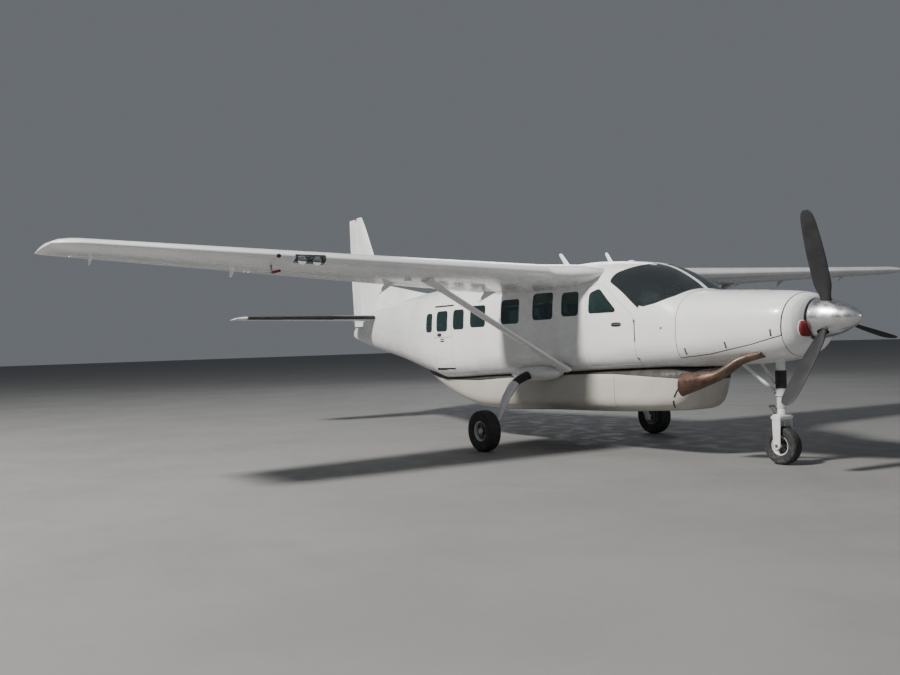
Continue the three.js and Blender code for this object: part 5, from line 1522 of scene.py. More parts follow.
def make_gear(word, side):
    wheel = MAIN_WHEEL
    leg = solid(loft([leg_ring(side, i / 6) for i in range(37)]))
    ends = [(wheel["s"], side * y, wheel["radius"]) for y in (1590, 1800)]
    axle = solid(rod(*ends, AXLE - 0.5, sides=32))
    skin = Smooth(leg, 1)
    fairing = solid(loft([fairing_ring(s, side) for s in GEAR_FAIRING.places(*GEAR_FAIRING.ends, 45)]))
    bulge = cut(copy_of(fairing), hull, pod_form(SEAT))
    dress(bulge, Smooth(fairing, 1))
    piece(bulge, "gear_fairing_" + word, "root", "paint paint")
    main = dress(join(cut(leg, fuselage(4300, 6000, SEAT)), axle), skin)
    piece(main, "gear_leg_skin_" + word, "root", "gear gear", "gear_leg_" + word)
    sleeve = solid(loft([leg_ring(side, lerp(1.0, 2.75, i / 12), 1.12 + 0.035 * math.cos(i * math.pi))
                         for i in range(13)]))
    piece(cut(sleeve, hull), "gear_sleeve_" + word, "root", "rubber", sharp=60)
    cuff = ((2.28, 1.16), (2.33, 1.3), (2.6, 1.32), (3.2, 1.25), (3.7, 1.16), (3.95, 1.02))
    cuff = loft([leg_ring(side, *row) for row in cuff])
    fitting(cuff, "gear_cuff_" + word, "root", "gear", 50)
    inboard = side * (wheel["y"] - 92)
    disc = [(-6, 50), (-6, 128), (6, 128), (6, 50)]
    disc = turned(disc, (at(wheel["s"]), inboard, wheel["radius"]), "Y", 72)
    fitting(disc, "brake_disc_" + word, "main_roller_" + word, "dark_steel", 30)
    arm = rounded([(5150, 345), (5232, 372), (5214, 448), (5140, 415)], 12, 4)
    bridge = rounded([(5208, 366), (5240, 376), (5222, 452), (5195, 444)], 8, 4)
    caliper = joined([slab(outline, inboard + side * low, inboard + side * high)
                      for outline, low, high in ((arm, -30, -9), (arm, 9, 16), (bridge, -30, 16))])
    piece(caliper, "brake_caliper_" + word, "root", "dark_steel", sharp=40)
    hose = [leg_ring(side, t, 1.05)[12] for t in np.linspace(3.9, 5.6, 12)]
    hose = tube([(x - 3, y, z) for x, y, z in hose], 6, 10)
    fitting(hose, "brake_hose_" + word, "root", "rubber", 60)


def smooth_path(points, steps=5):
    """Points on a Catmull-Rom curve through the given ones."""
    spots = [points[0]] + list(points) + [points[-1]]
    found = []
    for i in range(1, len(spots) - 2):
        p, q, r, t4 = (np.array(spots[i + k], float) for k in (-1, 0, 1, 2))
        for k in range(steps):
            t = k / steps
            found.append(tuple(0.5 * (2 * q + (r - p) * t + (2 * p - 5 * q + 4 * r - t4) * t * t
                                      + (3 * q - p - 3 * r + t4) * t ** 3)))
    return found + [tuple(points[-1])]


def tyre_profile(wheel, ribs):
    radius, half, rim = wheel["radius"], wheel["half"], wheel["rim"]
    edge = smooth_path([
        (rim + SEAT, 0.70 * half), (rim + 15, 0.82 * half), (rim + 0.22 * (radius - rim), 0.95 * half),
        (0.76 * radius, half), (0.86 * radius, 0.985 * half), (0.935 * radius, 0.88 * half),
        (0.975 * radius, 0.72 * half),
    ], 4)
    tread = []
    for y in ribs:
        crown = radius * (1 - 0.022 * (y / 0.72) ** 2)
        for edge_y, deep in ((y + 0.05, 0), (y + 0.035, 7), (y - 0.035, 7), (y - 0.05, 0)):
            tread.append((crown - deep, edge_y * half))
    right = [(y, r) for r, y in edge + tread]
    return right + [(0.0, radius)] + [(-y, r) for y, r in right[::-1]]


def make_wheel(name, wheel, side, ride, nodes):
    place = (at(wheel["s"]), side * wheel["y"], wheel["radius"])
    tyre = solid(turned(tyre_profile(wheel, (0.52, 0.2)), place, "Y", 96))
    piece(tyre, name + "_tyre_tread", ride, "tyre", nodes[1], sharp=32)
    half, edge, hub = wheel["half"], wheel["rim"], wheel["hub"]
    face = 1 if side >= 0 else -1
    bore = AXLE + 0.3
    ring = [(-0.62, bore), (-0.62, hub), (-0.3, hub + 8), (-0.3, edge - 22), (-0.36, edge - 14),
            (-0.64, edge - 9), (-0.73, edge + 4), (-0.755, edge + 4), (-0.74, edge - 2), (-0.69, edge),
            (0.69, edge), (0.74, edge - 2), (0.755, edge + 4), (0.73, edge + 4), (0.64, edge - 9),
            (0.34, edge - 14), (0.25, edge - 22), (0.25, hub + 8), (0.6, hub), (0.6, bore)]
    rim = solid(turned([(face * (a * half), r) for a, r in ring], place, "Y", 72))
    holes, bolts = [], []
    middle = (edge + hub) / 2 - 4
    for k in range(6):
        a = 2 * math.pi * (k + 0.5) / 6
        x, z = place[0] + middle * math.cos(a), place[2] + middle * math.sin(a)
        hole = [(-half, 0), (-half, edge * 0.15), (half, edge * 0.15), (half, 0)]
        holes.append(turned(hole, (x, place[1], z), "Y", 24))
        a += math.pi / 6
        x, z = place[0] + middle * math.cos(a), place[2] + middle * math.sin(a)
        bolts.append(turned([(0, 0), (0, 8), (9, 8), (9, 0)], (x, place[1] + face * 0.25 * half, z), "Y", 6))
    cut(rim, solid(gather(holes)))
    for p in rim.data.polygons:
        x, _, z = p.center / MM
        p.material_index = 1 if math.hypot(x - place[0], z - place[2]) < edge - 15 else 0
    piece(rim, name + "_rim", ride, "gear dark_steel", nodes[0], sharp=32)
    fitting(bolts, name + "_rim_bolts", ride, "steel", 30)
    cap = [(0.58, 0), (0.58, hub - 6), (0.66, hub - 10), (0.74, hub * 0.5), (0.76, 0)]
    cap = turned([(face * (a * half), r) for a, r in cap], place, "Y", 36)
    fitting(cap, name + "_hub_cap", ride, "steel", 30)


NOSE_LEG = {"s": 1140, "low": 700, "radius": 58}
FORK = {"crown": (545, 640), "half": 128, "plate": 22}


def make_nose_gear():
    s, low, radius = NOSE_LEG["s"], NOSE_LEG["low"], NOSE_LEG["radius"]
    x = at(s)
    profile = [(low, 0), (low, radius - 8), (low + 14, radius), (850, radius), (860, radius + 16),
               (940, radius + 16), (950, radius), (1330, radius), (1330, 0)]
    leg = solid(upright(profile, x))
    links = [solid(rod((1180, side * 40, 900), (1640, side * 210, 1330), 22, sides=20))
             for side in SIDES.values()]
    join(leg, *links)
    cut(leg, fuselage(600, 2400, SEAT))
    piece(leg, "nose_leg_tube", "root", "gear", "nose_gear_leg", sharp=35)
    folds = [(960 + 12 * k, 66 + 5 * (k % 2)) for k in range(18)]
    gaiter = upright([(955, 60)] + folds + [(1180, 60), (1180, 40), (955, 40)], x)
    fitting(gaiter, "nose_leg_gaiter", "root", "rubber", 60)
    clamps = [rod((1166, side * 30, 886), (1190, side * 50, 912), 30, sides=20) for side in SIDES.values()]
    fitting(clamps, "nose_leg_clamps", "root", "steel")

    half, plate, middle = FORK["half"], FORK["plate"], lerp(*FORK["crown"], 0.5)
    crown = solid(loft([[(x + 72 * math.cos(a), y, middle + tall * math.sin(a)) for a in turns(24)]
                        for y, tall in ((-half, 30), (-half + 8, 42), (-70, 47), (0, 50), (70, 47),
                                        (half - 8, 42), (half, 30))]))
    join(crown, solid(upright([(610, 0), (610, 54), (690, 54), (low - SEAT, 50), (low - SEAT, 0)], x)))
    for side in (-1, 1):
        centre = side * (half - plate / 2)
        rings = [[(x + deep * math.cos(a), centre + plate / 2 * math.sin(a), z) for a in turns(24)]
                 for z, deep in ((585, 60), (540, 62), (430, 58), (320, 54), (250, 52), (212, 42), (197, 20))]
        join(crown, solid(loft(rings)))
    axle = [(s, y, NOSE_WHEEL["radius"]) for y in (5 - half, half - 5)]
    join(crown, solid(rod(*axle, AXLE - 0.5, sides=32)))
    piece(crown, "nose_fork_arms", "nose_steering", "gear", "nose_fork", sharp=35)
    nuts = [turned([(0, 0), (0, 26), (side * 1.5, 26), (side * 1.5, 0)], (x, side * (half - 1), 240), "Y", 6)
            for side in (-1, 1)]
    fitting(nuts, "nose_axle_nuts", "nose_steering", "steel", 30)
    link = rounded([(s + 50, 640), (s + 150, 735), (s + 162, 722), (s + 66, 606)], 5, 3)
    scissor = [prism(link, -46, -32), prism(link, 32, 46), rod((s + 152, -52, 728), (s + 152, 52, 728), 10)]
    fitting(scissor, "nose_scissor", "nose_steering", "steel", 35)


def upright(profile, x):
    """A body turned about an upright line on the middle plane, from pairs of Z and radius."""
    rings = [[(x + r * math.cos(a), r * math.sin(a), z) for z, r in profile] for a in turns(40)]
    return loft(rings, closed=True)


# Propeller

BLADE = Table("r chord thick", [
    (90, 110, 90), (250, 130, 62), (420, 215, 34), (800, 235, 24), (1180, 205, 14), (1290, 150, 10),
    (1322, 80, 8),
])
SPINNER_RADIUS = monotone([0, 2.45, 7.75, 12.65, 17.0, 20.7, 23.3, 23.66],
                          [0, 22, 84, 148, 200, 232, 241, 242])


def make_propeller():
    hub = (LENGTH / 2, 0, PROP["z"])
    centre = Vector((at(PROP["s"]), 0, PROP["z"]))
    profile = [(575 * (k / 40) ** 2, SPINNER_RADIUS(math.sqrt(560) * k / 40)) for k in range(41)]
    profile = [(min(s * 560 / 575, 560), r) for s, r in profile] + [(572, 239), (575, 236), (575, 0)]
    whole = solid(turned(profile, hub, "X", 96))
    slots, blades = [], []
    for i in range(PROP["blades"]):
        angle = -PROP["lean"] + 2 * math.pi * i / PROP["blades"]
        span = Vector((0, math.sin(angle), math.cos(angle)))
        across = Vector((0, math.cos(angle), -math.sin(angle)))
        slots.append(solid(loft([[
            centre + span * r + Vector((74 * math.cos(a), 0, 0)) + across * (50 * math.sin(a))
            for a in turns(32)
        ] for r in (60, 300)])))
        blades.append(solid(loft([blade_ring(centre, span, across, r) for r in BLADE.places(*BLADE.ends, 45)])))
    skin = Smooth(whole, 1)
    inside = solid(turned([(300, 0), (300, 100.3), (600, 100.3), (600, 0)], hub, "X", 48))
    spinner = dress(cut(copy_of(whole), inside, *slots), skin)
    piece(spinner, "spinner_shell", "propeller", "alloy alloy", "spinner")
    core = solid(turned([(330, 0), (330, 100), (500, 100), (500, 80), (639.7, 80), (639.7, 0)], hub, "X", 48))
    prop = join(core, *blades)
    piece(prop, "propeller_blade_set", "propeller", "blade", "propeller_blades", sharp=45)
    band = turned([(556, 238), (556, 243.0), (566, 242.6), (566, 238)], hub, "X", 72)
    fitting(band, "spinner_band", "propeller", "alloy", 30)


def blade_ring(centre, span, across, r):
    """One section of a blade: a thin foil whose nose looks forward."""
    twist = lerp(0.3, -0.06, (r - 90) / (PROP["radius"] - 90))
    chord, thick = BLADE.chord(r), BLADE.thick(r)
    oval = max(0.0, min(1.0, (420 - r) / 250))
    ring = []
    for a in turns(28):
        share = (1 - math.cos(a)) / 2
        foil_v = math.copysign(half_thickness(share) * thick, math.sin(a)) if 0 < share < 1 else 0.0
        u = chord / 2 * math.cos(a)
        v = lerp(foil_v + math.sin(a) * 1.4, thick / 2 * math.sin(a), oval)
        point = centre + span * r + Vector((u * math.cos(twist) - v * math.sin(twist), 0, 0))
        ring.append(point + across * (u * math.sin(twist) + v * math.cos(twist)))
    return ring


EXHAUST = Table("s y z across tall", [
    (1080, -380, 1400, 80, 48),
    (1290, -545, 1322, 96, 52),
    (1430, -600, 1226, 100, 62),
    (1570, -640, 1142, 104, 72),
    (1780, -690, 1082, 106, 104),
    (2110, -712, 1010, 100, 147),
])


def pipe_ring(s, less, count=40):
    y, z, across, tall = (getattr(EXHAUST, name)(s) for name in ("y", "z", "across", "tall"))
    return [(at(s), y + (across - less) * math.cos(a), z + (tall - less) * math.sin(a)) for a in turns(count)]


def pipe(less, start, end):
    return solid(loft([pipe_ring(s, less) for s in EXHAUST.places(start, end, 40)]))


# The pipe's front end, where its bore begins, and its open end
EXHAUST_FRONT, BORE_FRONT, EXHAUST_BACK = 1080, 1290, 2110
EXHAUST_STRAPS = (1435, 2045)


def make_exhaust():
    outer, bore = pipe(0, EXHAUST_FRONT, EXHAUST_BACK), pipe(6, BORE_FRONT, EXHAUST_BACK + 30)
    layers = Smooth(outer, 1), sunk_normals(Smooth(bore, 2))
    stack = dress(cut(copy_of(outer), bore, hull), *layers)
    piece(stack, "exhaust_pipe", "root", "exhaust exhaust soot", "exhaust_stack")
    lip = tube(pipe_ring(EXHAUST_BACK - 6, 2, 48), 6, 10, closed=True)
    fitting(lip, "exhaust_lip", "root", "exhaust", 60)
    straps = []
    for s in EXHAUST_STRAPS:
        x, y, z = (at(s), EXHAUST.y(s) + 30, EXHAUST.z(s) + EXHAUST.tall(s) * 0.94)
        up = z + 40
        skin_y = side_point(FUSELAGE, s, up, STARBOARD)[1]
        path = smooth_path([(x, y, z), (x, (y + skin_y) / 2, up - 8), (x, skin_y + 6, up + 6)], 4)
        straps.append(tube(path, 9, 12))
    fitting(straps, "exhaust_brackets", "root", "steel", 50)


# Cargo pod: the lower edge of the painted shade on the pod's top under the belly, the side seam and the bow's
# dark slots
POD_SHADE = [(2012, 1045), (2361, 1075), (2616, 1092), (2956, 1110), (3460, 1130), (4010, 1126), (5200, 1084),
             (6000, 1040), (6842, 984), (7406, 979), (8097, 982), (8366, 1000), (9200, 1110)]
POD_SEAM = [(3462, z) for z in range(1110, 640, -30)]
BOW_SLOTS = [[(2366, 1004), (2395, 940), (2425, 880), (2450, 826)], [(2466, 782), (2482, 732), (2499, 682)]]


def make_pod():
    whole = cut(copy_of(pod_outer), hull)
    lowered = cut(solid(body(POD, *POD_ROOM, -POD_WALL, 96, 70)), solid(lowered_belly()))
    wall = cut(whole, lowered)
    layers = skins["pod"]
    holes = []
    for name, (front, back) in POD_DOORS.items():
        outline = rectangle(front, back, *POD_DOOR_Z)
        holes.append(side_block(rounded(outline, 30, 5), PORT))
        panel = meet(copy_of(wall), side_block(rounded(inset(outline, CLEAR / 2), 27, 5), PORT))
        cut(panel, hinge_room(name, PORT, True))
        dress(panel, *layers)
        word = name.split("_")[1]
        ride = f"pod_door_{word}_body"
        piece(panel, f"pod_door_skin_{word}", ride, "edge pod liner", "pod_door_" + word)
        fitting(knuckles(name, PORT)[0], f"pod_door_hinge_{word}", ride, "steel")
        latches = [patch(POD, s, POD_DOOR_Z[1] - 60, PORT, 40, 20, 2.5) for s in (front + 160, back - 160)]
        fitting(latches, f"pod_door_latches_{word}", ride, "dark_steel")
    cut(wall, *holes, *[hinge_room(name, PORT, False) for name in POD_DOORS])
    dress(wall, *layers)
    piece(wall, "pod_skin", "root", "edge pod liner", "cargo_pod")
    ends = [knuckles(name, PORT)[1] for name in POD_DOORS]
    fitting(ends, "pod_hinge_ends", "root", "steel")
    band = meet(pod_form(13), fuselage(1900, 9400, 5, 96, 70))
    cut(band, hull, pod_form(SEAT))
    piece(band, "pod_seal", "root", "rubber", sharp=40)
    # A near-black sheet on the pod's top, down to POD_SHADE: painted shade for the shadow that the belly's
    # overhang casts on the pod
    shade = slab(POD_SHADE + [(POD_ENDS[1] + 50, 1400), (POD_ENDS[0] - 50, 1400)], -SIDE_FAR, SIDE_FAR)
    painted_shade = cut(meet(pod_form(2.2), shade), hull, pod_form(SEAT))
    piece(painted_shade, "pod_top_painted_shade", "root", "grime_and_shade", sharp=40)
    seam = strip([on_side(POD, s, z, STARBOARD) for s, z in POD_SEAM], 7, 0.9)
    fitting(seam, "pod_side_seam", "root", "edge")
    slots = [strip([on_side(POD, *place, STARBOARD) for place in smooth_path(slot, 6)], 20, 1.6)
             for slot in BOW_SLOTS]
    fitting(slots, "pod_bow_slots", "root", "rubber")


def lowered_belly():
    """The belly let down by the pod's wall, so that the pod's room has a roof."""
    rings = []
    for s in FUSELAGE.places(FIREWALL_S, CABIN_END_S + 200, 70):
        wide, low = FUSELAGE.wide(s), FUSELAGE.low(s)
        ring = []
        for x, y, z in (body_point(FUSELAGE, s, a, 10) for a in turns(96)):
            deeper = POD_WALL * (wide - z) / (wide - low) if z < wide else 0
            ring.append((x, y, z - deeper))
        rings.append(ring)
    return loft(rings)


# Cabin

def floor_z(s):
    return lerp(FLOOR["frontZ"], FLOOR["backZ"], (s - FLOOR["frontS"]) / (CABIN_END_S - FLOOR["frontS"]))


def pad(place, size, crown, channels, lean=None, count=18):
    """A cushion: crowned on its free face, with sides that pull in and sewn channels across.

    With a lean it is turned up on its edge, as a back."""
    points, faces, index = [], [], {}

    def vertex(i, j, k):
        key = (i, j, k)
        if key in index:
            return index[key]
        u, v, w = (2 * n / count - 1 for n in key)
        big = max(abs(u), abs(v), abs(w))
        size_n = (abs(u) ** 7 + abs(v) ** 7 + abs(w) ** 7) ** (1 / 7)
        u, v, w = (c * big / size_n for c in (u, v, w))
        pull = 1 - 0.035 * (1 - u * u) * (1 - w * w)
        x, y, z = u * size[0] / 2, v * size[1] / 2 * pull, w * size[2] / 2
        groove = sum(math.exp(-((u - c) / 0.035) ** 2) for c in channels)
        free = max(0.0, w)
        z += free * (crown * (1 - u ** 4) * (1 - v ** 4) - 7 * groove * (1 - v ** 8))
        if lean is not None:
            x, z = -z, x
            x, z = x - z * math.sin(lean), z * math.cos(lean)
        points.append((place[0] + x, place[1] + y, place[2] + z))
        index[key] = len(points) - 1
        return index[key]

    for axis in range(3):
        for level in (0, count):
            for a in range(count):
                for b in range(count):
                    corner = []
                    for da, db in ((0, 0), (1, 0), (1, 1), (0, 1)):
                        key = [0, 0, 0]
                        key[axis] = level
                        key[(axis + 1) % 3], key[(axis + 2) % 3] = a + da, b + db
                        corner.append(vertex(*key))
                    faces.append(tuple(corner))
    return points, faces


def make_seat(name, s, y, replaces=""):
    """A seat: its frame, and a cushion and a back that are padded pieces."""
    z = floor_z(s)
    width, base, deep = SEAT_SIZE["width"], SEAT_SIZE["base"], SEAT_SIZE["deep"]
    shapes = []
    for side in (-1, 1):
        centre = y + side * SEAT_LEG_Y
        for start in (s + 80, s + deep - 90):
            foot = floor_z(start) + 1
            leg = [(start, foot), (start + 40, foot), (start + 30, z + base), (start + 6, z + base)]
            shapes.append(prism(rounded(leg, 4, 3), centre - 8, centre + 8))
    pan = rounded(rectangle(s + 20, s + deep - 20, z + base - 26, z + base + 4), 8, 3)
    shapes.append(prism(pan, y - width / 2 + 20, y + width / 2 - 20))
    fitting(shapes, name + "_frame", "root", "steel", 35)
    middle = at(s + deep / 2)
    cushion = solid(pad((middle, y, z + base + 62), (deep - 14, width - 14, 106), 18, (-0.45, 0.1, 0.6)))
    piece(cushion, name + "_cushion", "root", "cloth", replaces, sharp=80)
    foot = at(s + deep + 24)
    back = solid(pad((foot - 42, y, z + base + 300), (540, width - 24, 92), 16, (-0.5, 0.0, 0.5), 0.14))
    piece(back, name + "_back", "root", "cloth", sharp=80)


def make_seats():
    count = 0
    for s in SEAT_ROWS:
        for y in SEAT_LINES:
            count += 1
            make_seat(f"cabin_seat_{count}", s, y, "passenger_seats" if count == 1 else "")
    for word, side in SIDES.items():
        make_seat("crew_seat_soft_" + word, CREW_SEAT["s"], side * CREW_SEAT["y"], "crew_seat_" + word)
    front, back = 3980, 6560
    outline = [(front, floor_z(front) + SEAT), (back, floor_z(back) + SEAT),
               (back, floor_z(back) + 12), (front, floor_z(front) + 12)]
    middles = [y + side * SEAT_LEG_Y for y in SEAT_LINES for side in (-1, 1)]
    rails = [prism(outline, y - 14, y + 14) for y in middles]
    fitting(rails, "seat_rails", "root", "steel", 30)


def make_panel():
    """Dials and screens on the instrument panel, and the shield over it."""
    s = PANEL_BACK_S
    bezels, faces, marks = [], [], []
    for side in SIDES.values():
        for row, z in enumerate((2050, 1930, 1810)):
            for column in range(3):
                y = side * (190 + column * 120) + (0 if row < 2 else side * 6)
                bezels.append(turned([(0.5, 41), (0.5, 52), (9, 50), (9, 41)], (at(s), y, z), "X", 36))
                faces.append(turned([(0.5, 0), (0.5, 42), (3, 42), (3, 0)], (at(s), y, z), "X", 36))
                for a in turns(12):
                    spot = Vector((at(s) - 3.6, y + 34 * math.cos(a), z + 34 * math.sin(a)))
                    marks.append(blob(spot, (0.9, 2.0, 2.0), 2, 3, 5))
                points = row + column
                hand = [(at(s) - 4, y, z), (at(s) - 4, y + 20 * math.sin(points), z + 20 * math.cos(points))]
                marks.append(tube(hand, 1.3, 5))
    for z in (2040, 1930, 1820):
        bezels.append(prism(rounded(rectangle(s + 0.5, s + 10, z - 46, z + 46), 3, 2), -105, 105))
        faces.append(prism(rectangle(s + 10.2, s + 11.5, z - 34, z + 34), -92, 92))
    fitting(bezels, "panel_bezels", "root", "plastic", 35)
    fitting(faces, "panel_faces", "root", "dial", 35)
    fitting(marks, "panel_marks", "root", "mark", 35)
    shield = [(2345, 2120), (2810, 2118), (2822, 2142), (2800, 2160), (2640, 2178), (2400, 2200),
              (2345, 2205)]
    room = fuselage(FIREWALL_S + BULKHEAD + 1, 2900, -CABIN_WALL - 2)
    shield = meet(slab(shield, -SIDE_FAR, SIDE_FAR), room)
    piece(shield, "glareshield", "root", "plastic", sharp=35)


def make_controls():
    s = PANEL_BACK_S
    half_yoke = [(150, 120, 60), (155, 128, 10), (152, 90, -34), (150, 30, -14)]
    outline = half_yoke + [(150, 0, 0)] + [(back, -y, z) for back, y, z in half_yoke[::-1]]
    shapes = []
    for side in SIDES.values():
        y, z = side * 320, 1880
        shapes.append(rod((s + 1, y, z), (s + 150, y, z), 14))
        wheel = [(at(s + back), y + dy, z + dz) for back, dy, dz in outline]
        shapes.append(tube(smooth_path(wheel, 4), 13, 12))
    for k in range(3):
        y = -30 + 30 * k
        shapes.append(rod((2740 + 60 * k, y, 1720), (2800 + 60 * k, y, 1830), 7))
    fitting(shapes, "control_yokes", "root", "plastic", 50)


# Skin lines, rivets and small fittings

LAP_STATIONS = (2262, 3830, 4440, 5200, 6080, 6820, 7970, 8330, 9100, 9900, 10600)
LAP_LINES = ((0.36, (2290, 9800)), (-0.55, (2290, 9800)), (0.78, (6000, 10500)))
SPAR_SHARES = (0.07, 0.27, 0.66)
STATIC_PORTS = ((2450, 1760), (9650, 1900))
FUEL_CAPS = (1750, 3900)
AILERON_WICKS, ELEVATOR_WICKS = (5700, 6300, 6900, 7400), (1900, 2400, 2850)
RECEIVER = {"s": 3560, "y": -140}
BEACON_S = 12330


def on_ring(table, s, angle):
    spots = [Vector(body_point(table, s + a, angle + b)) for a, b in ((0, 0), (3, 0), (0, 0.01))]
    normal = (spots[1] - spots[0]).cross(spots[2] - spots[0]).normalized()
    centre = Vector((spots[0].x, 0, table.wide(s)))
    return spots[0], normal if normal.dot(spots[0] - centre) > 0 else -normal


def clear_of_openings(s, z, side, margin):
    """True where a skin point is outside every window and door of that side."""
    boxes = list(WINDOWS[side])
    for outline, door_side, *_ in DOORS.values():
        if door_side == side:
            stations, heights = zip(*outline)
            boxes.append((min(stations), max(stations), min(heights), max(heights)))
    return not any(a - margin < s < b + margin and low - margin < z < high + margin
                   for a, b, low, high in boxes)


def free_runs(spots):
    """Splits a row of places, with None where an opening is, into its runs of four or more."""
    runs, run = [], []
    for spot in spots + [None]:
        if spot is not None:
            run.append(spot)
            continue
        if len(run) > 3:
            runs.append(run)
        run = []
    return runs


def ring_spot(s, side, angle):
    """A place on a ring round the body, or None where glass, a door, the wing or the pod is."""
    place, normal = on_ring(FUSELAGE, s, angle if side > 0 else math.pi - angle)
    under_wing = place.z > 2380 and 3560 < s < 5930
    at_screen = s < 3400 and place.z > 2000
    over_pod = place.z < 1190 and abs(place.y) < 660 and s < 8250
    if under_wing or at_screen or over_pod or not clear_of_openings(s, place.z, side, 34):
        return None
    return place, normal


def make_skin_lines():
    """Lap joints round the body and along it, each with its rows of rivets."""
    joints, heads = [], []
    for s in LAP_STATIONS:
        for side in SIDES.values():
            for run in free_runs([ring_spot(s, side, math.radians(-86 + 172 * k / 90)) for k in range(91)]):
                joints.append(strip(run, 24, 0.7))
                for shift in (-7, 7):
                    heads += [(p + Vector((shift, 0, 0)) + n * 0.6, n) for p, n in run]
    for z_share, ends in LAP_LINES:
        for side in SIDES.values():
            spots = []
            for s in np.arange(*ends, 48):
                wide = FUSELAGE.wide(s)
                z = wide + z_share * (FUSELAGE.high(s) - wide if z_share > 0 else wide - FUSELAGE.low(s))
                spots.append(on_side(FUSELAGE, s, z, side) if clear_of_openings(s, z, side, 30) else None)
            for run in free_runs(spots):
                joints.append(strip(run, 20, 0.6))
                heads += [(p + n * 0.5, n) for p, n in run]
    fitting(joints, "fuselage_lap_joints", "root", "paint", 30)
    fitting(rivets(heads), "fuselage_rivets", "root", "paint", 50)


def on_foil(table, side, y, share, face):
    spots = [Vector(foil_point(table, side, y + a, share + b, face)) for a, b in ((0, 0), (4, 0), (0, 0.004))]
    normal = (spots[1] - spots[0]).cross(spots[2] - spots[0]).normalized()
    return spots[0], normal if normal.z * face > 0 else -normal


def wicks(table, side, places, reach):
    """Static wicks behind a trailing edge."""
    shapes = []
    for place in places:
        x, y, z = foil_point(table, side, place, 1.0, 1)
        shapes.append(tube([(x + 12, y, z), (x - reach, y, z - 4)], [3, 1.2], 8))
    return shapes


def make_wing_lines(word, side):
    """Rivets along the spars and the ribs, filler caps, a tip lamp, wicks and, on one wing, the probes."""
    heads = []
    for face in (1, -1):
        for share in SPAR_SHARES:
            heads += [on_foil(WING, side, y, share, face) for y in np.arange(1400, 7600, 52)
                      if not (share == SPAR_SHARES[0] and 4780 < y < 5290)]
        for y in range(1500, 7700, 420):
            heads += [on_foil(WING, side, y, share, face) for share in np.linspace(0.09, 0.645, 26)]
    fitting(rivets(heads, 3.0, 1.0), "wing_rivets_" + word, "root", "wing", 50)
    caps = []
    for y in FUEL_CAPS:
        place, normal = on_foil(WING, side, y, 0.2, 1)
        caps.append(tube([place - normal, place + normal * 3.2, place + normal * 4.6], [46, 46, 40], 32))
    fitting(caps, "fuel_caps_" + word, "root", "dark_steel")
    place, _ = on_foil(WING, side, 7800, 0.1, 1)
    lamp = blob((place.x - 60, side * 7872, 2838), (70, 44, 20), 2.2, 12, 24)
    fitting(lamp, "tip_lamp_" + word, "root", "red_lens" if side > 0 else "green_lens", 60)
    shapes = wicks(WING, side, AILERON_WICKS, 120)
    fitting(shapes, "aileron_wicks_" + word, "aileron_body_" + word, "rubber", 60)
    shapes = wicks(STABILIZER, side, ELEVATOR_WICKS, 110)
    fitting(shapes, "elevator_wicks_" + word, "elevator_body_" + word, "rubber", 60)
    if side == STARBOARD:
        make_probes(side)


def make_probes(side):
    """The covered stall sensor on the wing's edge, and the pitot head with its cover under the wing."""
    y = 5449
    vane = blob((at(WING.lead(y)) + 1, side * y, WING.leadZ(y) - 4), (9, 30, 26), 2, 8, 20)
    fitting(vane, "stall_sensor_cover", "root", "rubber", 60)
    foot = Vector(foil_point(WING, side, 5430, 0.2, -1))

    def bar(places, radii, sides):
        return tube([foot + Vector((x, 0, z)) for x, z in places], radii, sides)

    mast = bar([(0, 8), (18, -60), (30, -92)], [16, 11, 9], 16)
    head = bar([(-20, -92), (190, -88), (260, -87)], [11, 11, 7], 16)
    fitting([mast, head], "pitot_head", "root", "steel", 50)
    cover = bar([(60, -91), (80, -90), (262, -87), (268, -87)], [17, 18, 16, 10], 20)
    fitting(cover, "pitot_cover", "root", "red", 50)


# Station of the foot, its length, how far it leans aft, height and half thickness
ANTENNAS = ((4085, 95, 115, 165, 9), (5030, 135, 230, 265, 10))


def antenna_ring(s, foot, lean, tall, half, t):
    """One level of a blade antenna, at a share of its height."""
    chord = foot * (1 - 0.35 * t) * (1 if t < 0.9 else 1 - (t - 0.9) * 3.2)
    start = s + lean * t + (foot - chord) * 0.35
    z = FUSELAGE.high(s) - 14 + (tall + 2) * t
    return [(at(start + chord * (1 - math.cos(a)) / 2), half * (1 - 0.5 * t) * math.sin(a) * 0.9, z)
            for a in turns(20)]


def make_small_fittings():
    blades = []
    for s, foot, *size in ANTENNAS:
        blades.append(loft([antenna_ring(s, foot, *size, k / 8) for k in range(9)]))
        place = (at(s + foot / 2), 0, FUSELAGE.high(s) - 14 + 16)
        blades.append(blob(place, (foot * 0.62, 30, 7), 2.6, 8, 28))
    fitting(blades, "roof_antennas", "root", "paint")
    s = RECEIVER["s"]
    puck = blob((at(s), RECEIVER["y"], FUSELAGE.high(s) - 3), (60, 45, 16), 2.6, 10, 28)
    fitting(puck, "roof_receiver", "root", "paint", 50)
    lamp_z = FIN_TOP - 46
    beacon = blob((at(BEACON_S), 0, lamp_z + 8), (60, 30, 36), 2.4, 12, 28)
    fitting(beacon, "fin_beacon", "root", "red_lens", 60)
    foot = blob((at(BEACON_S), 0, lamp_z - 20), (90, 34, 16), 2.6, 8, 28)
    fitting(foot, "fin_beacon_foot", "root", "tail", 60)
    ports = [patch(FUSELAGE, *spot, side, 16, 16, 1.6, corner=0.9)
             for side in SIDES.values() for spot in STATIC_PORTS]
    fitting(ports, "static_ports", "root", "steel")


def carried_over():
    """Procedural materials for the frame's own nodes that stay."""
    looks = {"cabin_floor": "carpet", "instrument_panel": "plastic", "engine_block": "engine"}
    for node, look in looks.items():
        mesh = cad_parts[node].data
        mesh.materials.clear()
        mesh.materials.append(L[look])


# Camera, floor and lights

